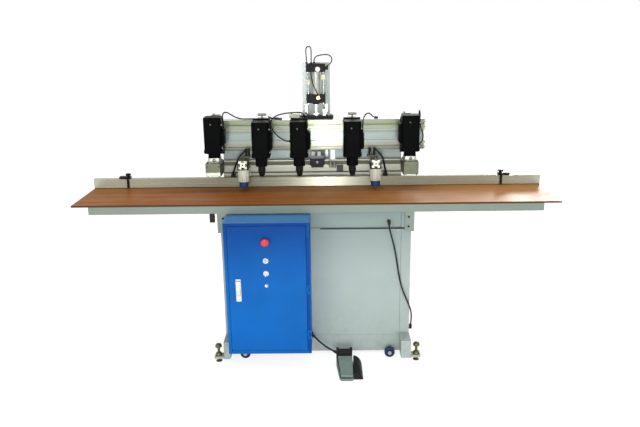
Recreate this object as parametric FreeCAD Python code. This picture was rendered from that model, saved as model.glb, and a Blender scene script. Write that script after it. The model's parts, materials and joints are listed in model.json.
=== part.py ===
import FreeCAD, Part
import math
import os

# Dowel joiner: a five-spindle boring machine with a long table, a back fence,
# a pneumatic feed beam, two clamps, a control cabinet and a foot pedal.
# Millimetres. x runs to the operator's right, y away from the operator, z up.
# While the pieces are built, y = 0 is the table's front edge and z = 0 the floor.

Vector = FreeCAD.Vector
X = Vector(1, 0, 0)
Y = Vector(0, 1, 0)
Z = Vector(0, 0, 1)
SIDES = (-1, 1)

# Fits
SHAFT_GAP = 0.05          # radial running clearance of a shaft in its bore
SLIDE_GAP = 0.3           # between flat faces that slide past each other
PANEL_SEAM = 2.0          # visible gap around a sheet panel or the door

# Base cabinet
BASE_WIDTH = 960.0
BASE_DEPTH = 605.0
BASE_FRONT = 15.0
BASE_TOP = 775.0
TOP_PLATE = 4.0
POST = 50.0
TUBE_WALL = 3.0
TOP_BAR_HEIGHT = 78.0
TOP_BAR_RECESS = 6.0
SKIRT_LOW = 14.0
SKIRT_TOP = 105.0
SHEET = 1.5
FOOT_LOW = 23.0
FOOT_TOP = 118.0
FOOT_OVERHANG = 105.0     # foot beam past the cabinet's front face
FOOT_TAIL = 70.0          # and past its rear face
LEVELLER_REACH = 31.0     # leveller axis outside the cabinet's side
LEVELLER_INSET = 30.0     # leveller axis from the foot beam's end
LEVELLER_ROD = 6.5
LEVELLER_PLATE = 11.0
WHEEL_RADIUS = 27.0
WHEEL_WIDTH = 24.0
WHEEL_AXLE = 6.0
WHEEL_HEIGHT = 29.0
WHEEL_INSET = 104.0       # wheel axis from the cabinet's side
WHEEL_STANDOFF = 34.0     # wheel from the cabinet's face
INLET_PLACE = (300.0, 60.0)   # air inlet on the rear panel, x and height
INLET_BORE = 5.9
INLET_DEPTH = 12.0

# Table, fence and stops
TABLE_LENGTH = 2440.0
TABLE_DEPTH = 400.0
BOARD = 9.0
RAIL = 40.0
RAIL_INSET = 84.0
RAIL_SETBACK = 4.0
FENCE_LENGTH = 2442.0
FENCE_DEPTH = 25.0
FENCE_HEIGHT = 51.0
FENCE_SHIM = 2.0
FENCE_SETBACK = 1.0
SLOT_MOUTH = 8.0
STOP_XS = (-1031.5, 1007.0)

# Drill heads
HEAD_XS = (-540.0, -290.0, -88.0, 195.0, 500.0)
OUTER_HEADS = (0, 4)
KNOB_HEADS = (1, 3)
LOCK_BLOCKS = {0: (-17.0, 28.0), 2: (-52.0, 3.0), 4: (-36.0, 10.0)}
SPINDLE_Y = 315.0
MOTOR_WIDTH = 92.0
MOTOR_DEPTH = 94.0
MOTOR_HEIGHT = 190.0
MOTOR_WALL = 8.0
COVER_REACH = 16.0          # how far a terminal cover stands off its motor
INNER_MOTOR_RISE = 178.0  # motor flange above the table top
OUTER_MOTOR_RISE = 205.0
NOSE_WIDTH = 60.0
INNER_NOSE = 47.0
OUTER_NOSE = 26.0
SHAFT_RADIUS = 10.0
ROTOR_RADIUS = 26.0
ROTOR_LENGTH = 84.0
ROTOR_RISE = 46.0
BEARING_LOW = (8.0, 16.0, 20.0)     # above the flange, height, outer radius
BEARING_HIGH = (12.0, 14.0, 16.0)   # below the top, height, outer radius
TAIL_RADIUS = 8.0
CHUCK_RADIUS = 20.0
CHUCK_HEIGHT = 58.0
BIT_RADIUS = 4.0
BIT_REACH = 15.0

# Twin-spindle gear boxes of the outer heads
OUTLET_PITCH = 32.0
GEAR_MODULE = 1.0
GEAR_TEETH = 16
GEAR_WIDTH = 12.0
GEAR_BACKLASH = 0.18
CASE_WIDTH = 82.0
CASE_FRONT = 246.0
CASE_HEIGHT = 67.0
CASE_COVER = 20.0
COLLAR_HEIGHT = 23.0
COLLAR_WIDTH = 66.0
OUTLET_BORE = 5.0
OUTLET_BORE_DEPTH = 25.0
OUTLET_COLLAR = 10.0
OUTLET_COLLAR_HEIGHT = 13.5
OUTLET_JOURNAL = 7.5
LOWER_JOURNAL = 5.0

# Feed beam and what carries it
FEED_X = 4.0
STROKE = 55.0
BEAM_LENGTH = 1164.0
BEAM_FRONT = 395.0
BEAM_DEPTH = 70.0
BEAM_RISE = 198.0         # beam underside above the table top
BEAM_HEIGHT = 164.0
CARRIAGE_WIDTH = 92.0
CARRIAGE_PLATE = 17.7
HOOK_HEIGHT = 12.6
HOOK_WIDTH = 48.0
COLUMN_WIDTH = 152.0
COLUMN_DEPTH = 100.0
COLUMN_FRONT = 510.0
COLUMN_TOP_RISE = 658.0
COLUMN_WALL = 6.0
RAIL_GAUGE = 110.0        # between the two guide rails
GUIDE_WIDTH = 15.0
GUIDE_HEIGHT = 12.0
PUSH_PLATE = 18.0

# Feed cylinder
CYLINDER_Y = 445.0
CYLINDER_BLOCK = 102.0
CYLINDER_DEPTH = 70.0
CYLINDER_BORE = 25.0
CYLINDER_WALL = 4.0
ROD_RADIUS = 10.0
LOWER_BLOCK = (449.0, 495.0)   # heights above the table top
UPPER_BLOCK = (613.0, 658.0)
TIE_RADIUS = 4.0
TIE_X = 40.0
TIE_Y = 26.0
MANIFOLD_X = (-33.0, 47.0)
REGULATOR_RISE = 104.0       # keeps their caps below the lowered feed beam
MANIFOLD_DEPTH = 18.0
MANIFOLD_CLEARANCE = 3.0     # to the feed beam that passes behind it
MANIFOLD_PLATE = 15.0
VALVE_HEIGHT = 22.0
MANIFOLD_RISE = (116.0, 154.0)   # above the table top

# Clamp frame
CLAMP_BEAM_X = (-515.0, 472.0)
CLAMP_BEAM_FRONT = 434.0
CLAMP_BEAM_DEPTH = 46.0
CLAMP_BEAM_RISE = 43.0
CLAMP_BEAM_HEIGHT = 94.0
BACK_PLATE_HEIGHT = 59.0
CLAMP_XS = (-388.0, 319.0)
CLAMP_Y = 304.0
ARM = 44.0
ARM_FRONT = 276.0
ARM_REAR = 388.0
ARM_RISE = 119.0
CLAMP_BODY_RADIUS = 29.0
CLAMP_BODY_HEIGHT = 66.0
CLAMP_PISTON = 16.0
CLAMP_ROD = 8.0
PAD_RADIUS = 25.0
PAD_HEIGHT = 30.0
PAD_RISE = 18.0
CLAMP_STROKE = 17.0
PORT_BLOCK_HEIGHT = 12.0
PORT_SPACING = (14.0, 26.0)  # between the two elbows of the left and of the right arm

# Control box
BOX_FROM_SIDE = 35.0       # box's left face, from the cabinet's left side
BOX_RIGHT = -27.0
BOX_Z = (82.0, 769.0)
BOX_DEPTH = 163.0
BOX_SHEET = 2.0
DOOR_BORDER = (16.0, 18.0)   # between the box's sides and the door, left and right
DOOR_Z = (98.0, 755.0)
DOOR_RETURN = 16.0
HINGE_X = -41.0
HINGE_RADIUS = 4.0
HINGE_PIN = 1.9
BUTTON_X = -243.0
ESTOP_Z = 677.0
START_Z = 579.0
KEY_Z = 514.0
TOGGLE_Z = 450.0
HANDLE_FROM_SIDE = 64.0     # from the box's left face
HANDLE_Z = (368.0, 485.0)
HANDLE_PIVOT_DROP = 14.0
HANDLE_PIN = 1.8

# Foot pedal
PEDAL_REAR = -96.0
PEDAL_FRONT = -283.0
PEDAL_LEFT = 97.0
PEDAL_RIGHT = 182.0
PEDAL_PLATE = 12.0
PEDAL_WALL = 4.0
TREADLE_REAR = (-134.0, 60.0)       # y and height of the treadle's rear edge
TREADLE_FRONT = (-279.0, 29.0)
TREADLE_PIVOT = (-262.0, 21.0)
TREADLE_X_REAR = (104.0, 178.0)
TREADLE_X_FRONT = (117.0, 176.0)
PEDAL_PIN = 3.0
HOOD_DEPTH = 34.0
HOOD_HEIGHT = 86.0
PEDAL_LEAN = 0.1
DOME_REACH = 45.0
DOME_REAR = (-132.0, 62.0)          # y and height of the side dome's rear end
DOME_FRONT = (-268.0, 36.0)

# Cord routes, chosen point by point
PEDAL_CORD_RADIUS = 4.8
PEDAL_CORD = [
    (-14.0, -62.0, 133.0), (8.0, -69.0, 112.5), (35.0, -78.0, 91.5), (61.0, -86.7, 76.5), (84.0, -94.5, 67.0),
]
CABLE_RADIUS = 3.5
MOTOR_CABLES = [
    [(-486.0, 318.0, 1168.0), (-486.0, 318.0, 1190.0), (-489.0, 319.0, 1215.0), (-486.0, 325.0, 1236.0),
     (-472.0, 336.0, 1240.0), (-459.0, 350.0, 1232.0), (-443.0, 370.0, 1217.0), (-424.0, 393.0, 1202.0),
     (-398.0, 416.0, 1191.5), (-368.0, 430.0, 1190.0), (-300.0, 436.0, 1190.0), (-255.0, 434.0, 1190.5),
     (-222.0, 437.0, 1190.0)],
    [(-236.0, 318.0, 1142.0), (-236.0, 318.0, 1164.0), (-238.0, 326.0, 1192.0), (-246.0, 348.0, 1208.0),
     (-252.0, 374.0, 1209.0), (-250.0, 397.0, 1205.5), (-240.0, 413.0, 1196.0), (-223.0, 420.0, 1190.5),
     (-202.0, 421.0, 1190.0)],
    [(-141.0, 330.0, 1082.0), (-156.0, 330.0, 1082.0), (-176.0, 327.0, 1093.0), (-196.0, 320.0, 1108.0),
     (-213.0, 313.0, 1127.0), (-226.0, 307.0, 1148.0), (-234.0, 305.0, 1172.0), (-232.0, 309.0, 1196.0),
     (-218.0, 319.0, 1213.0), (-190.0, 334.0, 1224.0), (-154.0, 350.0, 1229.0), (-116.0, 366.0, 1229.0),
     (-86.0, 386.0, 1228.0), (-65.0, 408.0, 1220.0), (-58.0, 423.5, 1201.0)],
    [(249.0, 318.0, 1142.0), (249.0, 318.0, 1167.0), (253.0, 321.0, 1198.0), (264.0, 334.0, 1220.0),
     (282.0, 354.0, 1225.0), (298.0, 380.0, 1214.0), (308.0, 408.0, 1199.0), (322.0, 430.0, 1190.5)],
    [(553.0, 318.0, 1062.0), (561.5, 318.0, 1073.0), (569.0, 318.5, 1089.0), (570.0, 319.0, 1108.0),
     (565.0, 319.5, 1127.0), (557.0, 320.0, 1146.0), (552.5, 320.0, 1170.0), (551.5, 320.5, 1195.0),
     (551.5, 322.0, 1216.0), (551.5, 331.0, 1232.0), (551.5, 350.0, 1236.0), (553.0, 373.0, 1230.0),
     (556.0, 394.0, 1216.0), (557.0, 412.0, 1200.0), (552.0, 430.0, 1190.5)],
]
CABLE_ENDS_ON_BEAM = (0, 1, 3, 4)
HOSE_RADIUS = 3.0
CLAMP_HOSE_RADIUS = 5.0
PANEL_CABLE_RADIUS = 4.0
AIR_HOSES = [
    [(-44.0, 430.0, 1490.0), (-44.0, 430.0, 1512.0), (-46.5, 429.0, 1538.0), (-45.5, 429.0, 1560.0),
     (-37.9, 429.0, 1568.0), (-27.1, 429.0, 1568.0), (-19.5, 429.0, 1560.0), (-18.0, 429.0, 1538.0),
     (-19.0, 430.0, 1512.0), (-19.0, 430.0, 1490.0)],
    [(-4.0, 430.0, 1490.0), (-4.0, 430.0, 1501.0), (6.0, 428.0, 1517.0), (26.0, 426.0, 1523.0),
     (48.0, 424.0, 1526.0), (71.0, 422.0, 1526.0), (90.0, 421.0, 1513.0), (91.0, 421.0, 1492.0),
     (81.0, 421.0, 1478.0), (71.0, 421.0, 1470.0)],
    [(-22.0, 401.0, 1458.0), (-22.0, 401.0, 1441.0), (-20.0, 394.0, 1414.0), (-13.0, 390.0, 1384.0),
     (-3.0, 389.0, 1355.0), (8.0, 391.0, 1335.0), (17.0, 400.5, 1318.0)],
    [(-387.0, 368.0, 1022.0), (-397.5, 368.0, 1012.0), (-410.0, 368.5, 998.5), (-421.0, 369.5, 981.5),
     (-428.5, 371.0, 966.0), (-434.5, 373.0, 951.0), (-441.0, 376.0, 936.0), (-448.0, 380.5, 918.0),
     (-453.0, 385.0, 903.0)],
    [(326.0, 368.0, 1022.0), (336.5, 368.0, 1013.0), (348.0, 368.5, 1001.0), (357.5, 369.5, 986.0),
     (364.5, 371.0, 970.0), (369.0, 373.0, 953.0), (372.0, 376.0, 936.0), (375.5, 380.5, 918.0),
     (379.0, 385.0, 903.0)],
]
PANEL_CABLE_FROM_SIDE = [
    (-113.0, -6.0, 713.0), (-113.0, -6.0, 700.0), (-105.0, -3.0, 666.0), (-91.0, 3.0, 616.0),
    (-78.0, 7.0, 560.0), (-68.0, 9.0, 500.0), (-59.0, 8.0, 440.0), (-46.0, 8.0, 382.0),
    (-28.0, 6.0, 330.0), (-8.0, 3.0, 286.0), (7.0, 4.0, 246.0), (11.0, 12.0, 206.0),
    (11.0, 22.0, 176.0), (11.0, 34.0, 155.0),
]

# Worked out from the sizes above
BASE_REAR = BASE_FRONT + BASE_DEPTH
BASE_HALF = BASE_WIDTH / 2
TABLE_TOP = BASE_TOP + RAIL + BOARD
RAIL_HALF = TABLE_LENGTH / 2 - RAIL_INSET
FENCE_FRONT = TABLE_DEPTH - FENCE_SETBACK - FENCE_DEPTH
FENCE_TOP = TABLE_TOP + FENCE_SHIM + FENCE_HEIGHT
BEAM_BOTTOM = TABLE_TOP + BEAM_RISE
BEAM_TOP = BEAM_BOTTOM + BEAM_HEIGHT
BEAM_REAR = BEAM_FRONT + BEAM_DEPTH
BEAM_MIDDLE = (BEAM_BOTTOM + BEAM_TOP) / 2
COLUMN_TOP = TABLE_TOP + COLUMN_TOP_RISE
CLAMP_BEAM_LOW = TABLE_TOP + CLAMP_BEAM_RISE
CLAMP_BEAM_TOP = CLAMP_BEAM_LOW + CLAMP_BEAM_HEIGHT
CLAMP_BEAM_REAR = CLAMP_BEAM_FRONT + CLAMP_BEAM_DEPTH
ARM_LOW = TABLE_TOP + ARM_RISE
CLAMP_BODY_TOP = ARM_LOW - 5.0
CLAMP_BODY_LOW = CLAMP_BODY_TOP - CLAMP_BODY_HEIGHT
PAD_LOW = TABLE_TOP + PAD_RISE
BOX_X = (BOX_FROM_SIDE - BASE_HALF, BOX_RIGHT)
DOOR_X = (BOX_X[0] + DOOR_BORDER[0], BOX_X[1] - DOOR_BORDER[1])
HANDLE_X = BOX_X[0] + HANDLE_FROM_SIDE
BOX_FRONT = BASE_FRONT - BOX_DEPTH
HINGE_Y = BOX_FRONT - HINGE_RADIUS - 1.0
CASE_LOW = TABLE_TOP + OUTER_MOTOR_RISE - OUTER_NOSE - COLLAR_HEIGHT - CASE_HEIGHT
CASE_TOP = CASE_LOW + CASE_HEIGHT
GEAR_LOW = CASE_LOW + CASE_COVER + 1.5
CARRIAGE_FRONT = BEAM_FRONT - SLIDE_GAP - CARRIAGE_PLATE
PANEL_CABLE = [(BASE_HALF + x, y, z) for x, y, z in PANEL_CABLE_FROM_SIDE]
HOOD_FRONT = PEDAL_REAR - HOOD_DEPTH
CENTRE_Y = (PEDAL_FRONT + BASE_REAR + FOOT_TAIL) / 2


# ---- basic solids -------------------------------------------------------------

def block(x, y, z):
    """Box from a (low, high) pair on each axis."""
    return Part.makeBox(x[1] - x[0], y[1] - y[0], z[1] - z[0], Vector(x[0], y[0], z[0]))


def rod(start, radius, length, axis=Z):
    return Part.makeCylinder(radius, length, Vector(*start), axis)


def ring(start, outer, inner, length, axis=Z):
    return rod(start, outer, length, axis).cut(rod(start, inner, length, axis))


def hexagon(start, across_flats, length, axis=Z):
    """Hexagonal prism, as on a bolt head or a gland nut."""
    start = Vector(*start)
    side = axis.cross(Z) if abs(axis.z) < 0.9 else X
    side.normalize()
    other = axis.cross(side)
    reach = across_flats / math.sqrt(3)
    corners = []
    for index in range(7):
        angle = math.radians(60 * index)
        corners.append(start + side * (reach * math.cos(angle)) + other * (reach * math.sin(angle)))
    return Part.Face(Part.makePolygon(corners)).extrude(axis * length)


def cap_screw(start, size, axis):
    """Socket-head screw's head, standing on the face at start."""
    start = Vector(*start)
    head = Part.makeCylinder(size * 0.8, size, start, axis)
    socket = hexagon(start + axis * (size * 0.45), size * 0.8, size, axis)
    return head.cut(socket)


def join(first, *others):
    shape = first.fuse(list(others))
    return shape.removeSplitter()


def rounded(shape, radius, axis):
    """Fillet the straight edges that run along an axis."""
    edges = [
        edge for edge in shape.Edges
        if edge.Curve.TypeId == "Part::GeomLine" and abs(edge.Curve.Direction.dot(axis)) > 0.999
    ]
    return shape.makeFillet(radius, edges)


def eased_rim(shape, radius, height):
    """Fillet every edge that lies flat at one height."""
    edges = [
        edge for edge in shape.Edges
        if abs(edge.BoundBox.ZMin - height) < 0.01 and abs(edge.BoundBox.ZMax - height) < 0.01
    ]
    return shape.makeFillet(radius, edges)


def turned(x, y, profile):
    """Solid of revolution about a vertical axis, from (radius, height) pairs that start and end on it."""
    corners = [Vector(x + radius, y, height) for radius, height in profile]
    face = Part.Face(Part.makePolygon(corners + [corners[0]]))
    return face.revolve(Vector(x, y, 0), Z, 360)


def prism_x(outline, x):
    """Outline of (y, z) corners, drawn out along x."""
    corners = [Vector(x[0], y, z) for y, z in outline]
    return Part.Face(Part.makePolygon(corners + [corners[0]])).extrude(X * (x[1] - x[0]))


def tube_x(x, y, z, wall):
    return block(x, y, z).cut(block(x, (y[0] + wall, y[1] - wall), (z[0] + wall, z[1] - wall)))


def tube_y(x, y, z, wall):
    return block(x, y, z).cut(block((x[0] + wall, x[1] - wall), y, (z[0] + wall, z[1] - wall)))


def tube_z(x, y, z, wall):
    return block(x, y, z).cut(block((x[0] + wall, x[1] - wall), (y[0] + wall, y[1] - wall), z))


def t_slot(start, along, into, length, mouth=SLOT_MOUTH, lip=3.0, chamber=16.0, depth=6.0):
    """Cutter for a T-slot whose centre line starts on the surface at start."""
    across = along.cross(into)

    def bar(origin, width, height):
        corner = origin - across * (width / 2)
        outline = [corner, corner + across * width, corner + across * width + into * height,
                   corner + into * height, corner]
        return Part.Face(Part.makePolygon(outline)).extrude(along * length)

    return bar(start, mouth, lip + 0.5).fuse(bar(start + into * lip, chamber, depth))


def swept_cord(points, radius):
    """Round cord along straight runs joined by tangent arcs; also gives its length and tightest bend."""
    corners = [Vector(*point) for point in points]
    edges = []
    tightest = 1e9
    reached = corners[0]
    for before, corner, after in zip(corners, corners[1:], corners[2:]):
        arriving = (corner - before).normalize()
        leaving = (after - corner).normalize()
        trim = 0.45 * min((corner - before).Length, (after - corner).Length)
        half_turn = arriving.getAngle(leaving) / 2
        bend = trim / math.tan(half_turn)
        tightest = min(tightest, bend)
        inward = (leaving - arriving).normalize()
        middle = corner + inward * (bend / math.cos(half_turn) - bend)
        arc_start = corner - arriving * trim
        arc_end = corner + leaving * trim
        edges.append(Part.LineSegment(reached, arc_start).toShape())
        edges.append(Part.Arc(arc_start, middle, arc_end).toShape())
        reached = arc_end
    edges.append(Part.LineSegment(reached, corners[-1]).toShape())
    path = Part.Wire(edges)
    circle = Part.Wire([Part.makeCircle(radius, corners[0], corners[1] - corners[0])])
    solid = path.makePipeShell([circle], True, False)
    return solid, path.Length, tightest


def cord(points, radius, label):
    """A cord's solid, with its bend radius and volume printed for checking."""
    solid, length, tightest = swept_cord(points, radius)
    ideal = math.pi * radius ** 2 * length
    print("%s: length %.1f mm, tightest bend %.1f mm, volume %.4f of section times length"
          % (label, length, tightest, solid.Volume / ideal))
    return solid


def spur_gear(x, y, low, bore, phase):
    """Spur gear with straight-flanked teeth, turned by a phase angle in degrees."""
    pitch_radius = GEAR_MODULE * GEAR_TEETH / 2
    root = pitch_radius - 1.25 * GEAR_MODULE
    tip = pitch_radius + 0.8 * GEAR_MODULE
    half_tooth = math.pi * GEAR_MODULE / 4 - GEAR_BACKLASH
    slope = math.tan(math.radians(20))
    half_root = half_tooth + slope * (pitch_radius - root)
    half_tip = half_tooth - slope * (tip - pitch_radius)
    corners = []
    for tooth in range(GEAR_TEETH):
        centre = math.radians(phase + 360.0 * tooth / GEAR_TEETH)
        for radius, offset in ((root, -half_root), (tip, -half_tip), (tip, half_tip), (root, half_root)):
            angle = centre + offset / radius
            corners.append(Vector(x + radius * math.cos(angle), y + radius * math.sin(angle), low))
    wheel = Part.Face(Part.makePolygon(corners + [corners[0]])).extrude(Z * GEAR_WIDTH)
    return wheel.cut(rod((x, y, low), bore, GEAR_WIDTH))


# ---- base cabinet ---------------------------------------------------------------

def posts():
    shapes = []
    for side in SIDES:
        outer = side * BASE_HALF
        x = tuple(sorted((outer, outer - side * POST)))
        for front in (BASE_FRONT, BASE_REAR - POST):
            shapes.append(tube_z(x, (front, front + POST), (FOOT_TOP, BASE_TOP - TOP_PLATE), TUBE_WALL))
    return shapes


def foot_beams():
    """Front-to-back tubes with end plates and leveller plates; the left one narrows beside the control box."""
    shapes = []
    front = BASE_FRONT - FOOT_OVERHANG
    rear = BASE_REAR + FOOT_TAIL
    z = (FOOT_LOW, FOOT_TOP)
    for side, front_x in ((-1, (-BASE_HALF, BOX_X[0] - PANEL_SEAM)), (1, (BASE_HALF - POST, BASE_HALF))):
        x = tuple(sorted((side * BASE_HALF, side * (BASE_HALF - POST))))
        beam = join(
            tube_y(front_x, (front + TUBE_WALL, BASE_FRONT), z, TUBE_WALL),
            block(front_x, (front, front + TUBE_WALL), z),
            tube_y(x, (BASE_FRONT, rear - TUBE_WALL), z, TUBE_WALL),
            block(x, (BASE_FRONT, BASE_FRONT + TUBE_WALL), z),
            block(x, (rear - TUBE_WALL, rear), z))
        shapes.append(beam)
        for y in leveller_ys():
            plate_x = tuple(sorted((side * BASE_HALF, side * (BASE_HALF + LEVELLER_REACH + 20))))
            plate = block(plate_x, (y - 25, y + 25), (FOOT_LOW, FOOT_LOW + LEVELLER_PLATE))
            hole = rod((leveller_x(side), y, FOOT_LOW), LEVELLER_ROD + SLIDE_GAP, LEVELLER_PLATE)
            shapes.append(rounded(plate, 3.0, Z).cut(hole))
    return shapes


def leveller_x(side):
    return side * (BASE_HALF + LEVELLER_REACH)


def leveller_ys():
    return (BASE_FRONT - FOOT_OVERHANG + LEVELLER_INSET, BASE_REAR + FOOT_TAIL - LEVELLER_INSET)


def ring_bars():
    """Skirt and top bars between the posts, the column bearers and the top plate."""
    inner = BASE_HALF - POST
    top = (BASE_TOP - TOP_PLATE - TOP_BAR_HEIGHT, BASE_TOP - TOP_PLATE)
    front = BASE_FRONT + TOP_BAR_RECESS
    rear = BASE_REAR - TOP_BAR_RECESS
    shapes = [
        tube_x((-inner, inner), (BASE_FRONT, BASE_FRONT + POST), (SKIRT_LOW, SKIRT_TOP), TUBE_WALL),
        tube_x((-inner, inner), (BASE_REAR - POST, BASE_REAR), (SKIRT_LOW, SKIRT_TOP), TUBE_WALL),
        tube_x((-inner, inner), (front, front + 40), top, TUBE_WALL),
        tube_x((-inner, inner), (rear - 40, rear), top, TUBE_WALL),
    ]
    for side in SIDES:
        x = tuple(sorted((side * (BASE_HALF - TOP_BAR_RECESS), side * (BASE_HALF - TOP_BAR_RECESS - 40))))
        shapes.append(tube_y(x, (BASE_FRONT + POST, BASE_REAR - POST), top, TUBE_WALL))
        bearer = FEED_X + side * (COLUMN_WIDTH / 2 - 20)
        shapes.append(tube_y((bearer - 20, bearer + 20), (front + 40, rear - 40), top, TUBE_WALL))
    shapes.append(block((-BASE_HALF, BASE_HALF), (BASE_FRONT, BASE_REAR), (BASE_TOP - TOP_PLATE, BASE_TOP)))
    return shapes


def wheel_places():
    """Each wheel's x, the cabinet face that its axle stands on, and the way it points."""
    x = BASE_HALF - WHEEL_INSET
    return [(-x, BASE_FRONT, -1), (x, BASE_FRONT, -1), (-x, BASE_REAR, 1), (x, BASE_REAR, 1)]


def wheel_axles():
    """Stub axles with a shoulder behind each wheel and a nut in front of it."""
    shapes = []
    for x, face, way in wheel_places():
        out = Y * way
        z = WHEEL_HEIGHT
        shoulder = rod((x, face, z), WHEEL_AXLE + 5, WHEEL_STANDOFF - SLIDE_GAP, out)
        shaft = rod((x, face + way * (WHEEL_STANDOFF - SLIDE_GAP), z), WHEEL_AXLE, WHEEL_WIDTH + 8, out)
        nut_face = face + way * (WHEEL_STANDOFF + WHEEL_WIDTH + SLIDE_GAP)
        nut = hexagon((x, nut_face, z), 19.0, 6.0, out)
        shapes.append(join(shoulder, shaft, nut))
    return shapes


def battens():
    """Square battens on the bars, for the sheet panels to screw against."""
    shapes = []
    half = BASE_HALF - POST - 12
    low = (SKIRT_TOP, SKIRT_TOP + 18)
    side_low = (FOOT_TOP, FOOT_TOP + 18)
    high = (BASE_TOP - TOP_PLATE - TOP_BAR_HEIGHT - 18, BASE_TOP - TOP_PLATE - TOP_BAR_HEIGHT)
    inside = 8.0
    for y in ((BASE_FRONT + SHEET, BASE_FRONT + inside), (BASE_REAR - inside, BASE_REAR - SHEET)):
        shapes += [block((-half, half), y, z) for z in (low, high)]
    side_y = (BASE_FRONT + POST + 12, BASE_REAR - POST - 12)
    for side in SIDES:
        x = tuple(sorted((side * (BASE_HALF - SHEET), side * (BASE_HALF - inside))))
        shapes += [block(x, side_y, z) for z in (side_low, high)]
    return shapes


def base_frame():
    return posts() + foot_beams() + ring_bars() + battens() + wheel_axles()


def wheel(x, face, way):
    """Cast wheel with a rounded tread, a dished face and a plain bore."""
    start = face + way * WHEEL_STANDOFF
    out = Y * way
    z = WHEEL_HEIGHT
    tyre = rod((x, start, z), WHEEL_RADIUS, WHEEL_WIDTH, out)
    tyre = tyre.makeFillet(5.0, [edge for edge in tyre.Edges if edge.Curve.TypeId == "Part::GeomCircle"])
    recess = ring((x, start + way * (WHEEL_WIDTH - 4), z), 18.0, 11.5, 4.0, out)
    bore = rod((x, start, z), WHEEL_AXLE + SHAFT_GAP, WHEEL_WIDTH, out)
    return [tyre.cut(recess).cut(bore)]


def levelling_feet():
    """Pad on the floor, threaded rod, domed lock nut and mushroom head at each corner."""
    shapes = []
    for side in SIDES:
        x = leveller_x(side)
        for y in leveller_ys():
            pad = turned(x, y, [(0, 0), (16, 0), (16, 4), (10, 7), (LEVELLER_ROD, 9), (0, 9)])
            shaft = rod((x, y, 8), LEVELLER_ROD, 68)
            head = turned(x, y, [(0, 74), (8, 74), (17, 80), (17, 88), (12, 96), (4, 100), (0, 100)])
            shapes.append(join(pad, shaft, head))
            seat = FOOT_LOW + LEVELLER_PLATE
            dome = turned(x, y, [(0, seat), (17.5, seat), (17.5, seat + 5), (13, seat + 14),
                                 (8.5, seat + 18), (0, seat + 18)])
            shapes.append(dome.cut(rod((x, y, seat), LEVELLER_ROD, 30)))
    return shapes


def base_panels():
    """Sheet panels let in between the posts, with their screws and the rear louvres."""
    inner = BASE_HALF - POST - PANEL_SEAM / 2
    low = SKIRT_TOP + PANEL_SEAM / 2
    high = BASE_TOP - TOP_PLATE - TOP_BAR_HEIGHT - PANEL_SEAM / 2
    front = block((-inner, inner), (BASE_FRONT, BASE_FRONT + SHEET), (low, high))
    rear = block((-inner, inner), (BASE_REAR - SHEET, BASE_REAR), (low, high))
    for row in range(8):
        z = high - 60 - row * 14
        for centre in (-220, 220):
            rear = rear.cut(block((centre - 60, centre + 60), (BASE_REAR - 5, BASE_REAR + 5), (z, z + 5)))
    shapes = [front, rear]
    flange_y = ((BASE_FRONT + SHEET, BASE_FRONT + 22), (BASE_REAR - 22, BASE_REAR - SHEET))
    for y in flange_y:
        for side in SIDES:
            x = tuple(sorted((side * inner, side * (inner - SHEET))))
            shapes.append(block(x, y, (low, high)))
    for side in SIDES:
        x = tuple(sorted((side * BASE_HALF, side * (BASE_HALF - SHEET))))
        y = (BASE_FRONT + POST + PANEL_SEAM / 2, BASE_REAR - POST - PANEL_SEAM / 2)
        shapes.append(block(x, y, (FOOT_TOP + PANEL_SEAM / 2, high)))
        for z in (FOOT_TOP + 25, high - 20):
            for screw_y in (y[0] + 15, y[1] - 15):
                shapes.append(cap_screw((side * BASE_HALF, screw_y, z), 5.0, X * side))
        for z in (low + 20, high - 20):
            shapes.append(cap_screw((side * (inner - 15), BASE_REAR, z), 5.0, Y))
    shapes.append(cap_screw((inner - 14, BASE_FRONT, high - 12), 5.0, -Y))
    shapes.append(cap_screw((inner - 14, BASE_FRONT, low + 14), 5.0, -Y))
    return shapes


# ---- table, fence and stops -------------------------------------------------------

def table_frame():
    """Two long rails, cross tubes between them and the two front brackets on the cabinet."""
    z = (BASE_TOP, BASE_TOP + RAIL)
    front = (RAIL_SETBACK, RAIL_SETBACK + RAIL)
    rear = (TABLE_DEPTH - 8 - RAIL, TABLE_DEPTH - 8)
    shapes = [
        rounded(tube_x((-RAIL_HALF, RAIL_HALF), front, z, TUBE_WALL), 1.2, X),
        rounded(tube_x((-RAIL_HALF, RAIL_HALF), rear, z, TUBE_WALL), 1.2, X),
    ]
    end = RAIL_HALF - RAIL / 2
    for x in (-end, -end * 0.68, -end * 0.34, 0, end * 0.34, end * 0.68, end):
        shapes.append(tube_y((x - RAIL / 2, x + RAIL / 2), (front[1], rear[0]), z, TUBE_WALL))
    for side in SIDES:
        x = tuple(sorted((side * (BASE_HALF - 33), side * (BASE_HALF + 14))))
        bracket = block(x, (BASE_FRONT - 8, BASE_FRONT), (BASE_TOP - TOP_PLATE - TOP_BAR_HEIGHT - 20, BASE_TOP))
        shapes.append(bracket)
        shapes.append(cap_screw((side * (BASE_HALF - 15), BASE_FRONT - 8, BASE_TOP - 25), 6.0, -Y))
        shapes.append(cap_screw((side * (BASE_HALF - 15), BASE_FRONT - 8, BASE_TOP - 75), 6.0, -Y))
    return shapes


def table_board():
    half = TABLE_LENGTH / 2
    board = block((-half, half), (0, TABLE_DEPTH), (TABLE_TOP - BOARD, TABLE_TOP))
    return [rounded(board, 1.5, X)]


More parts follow.
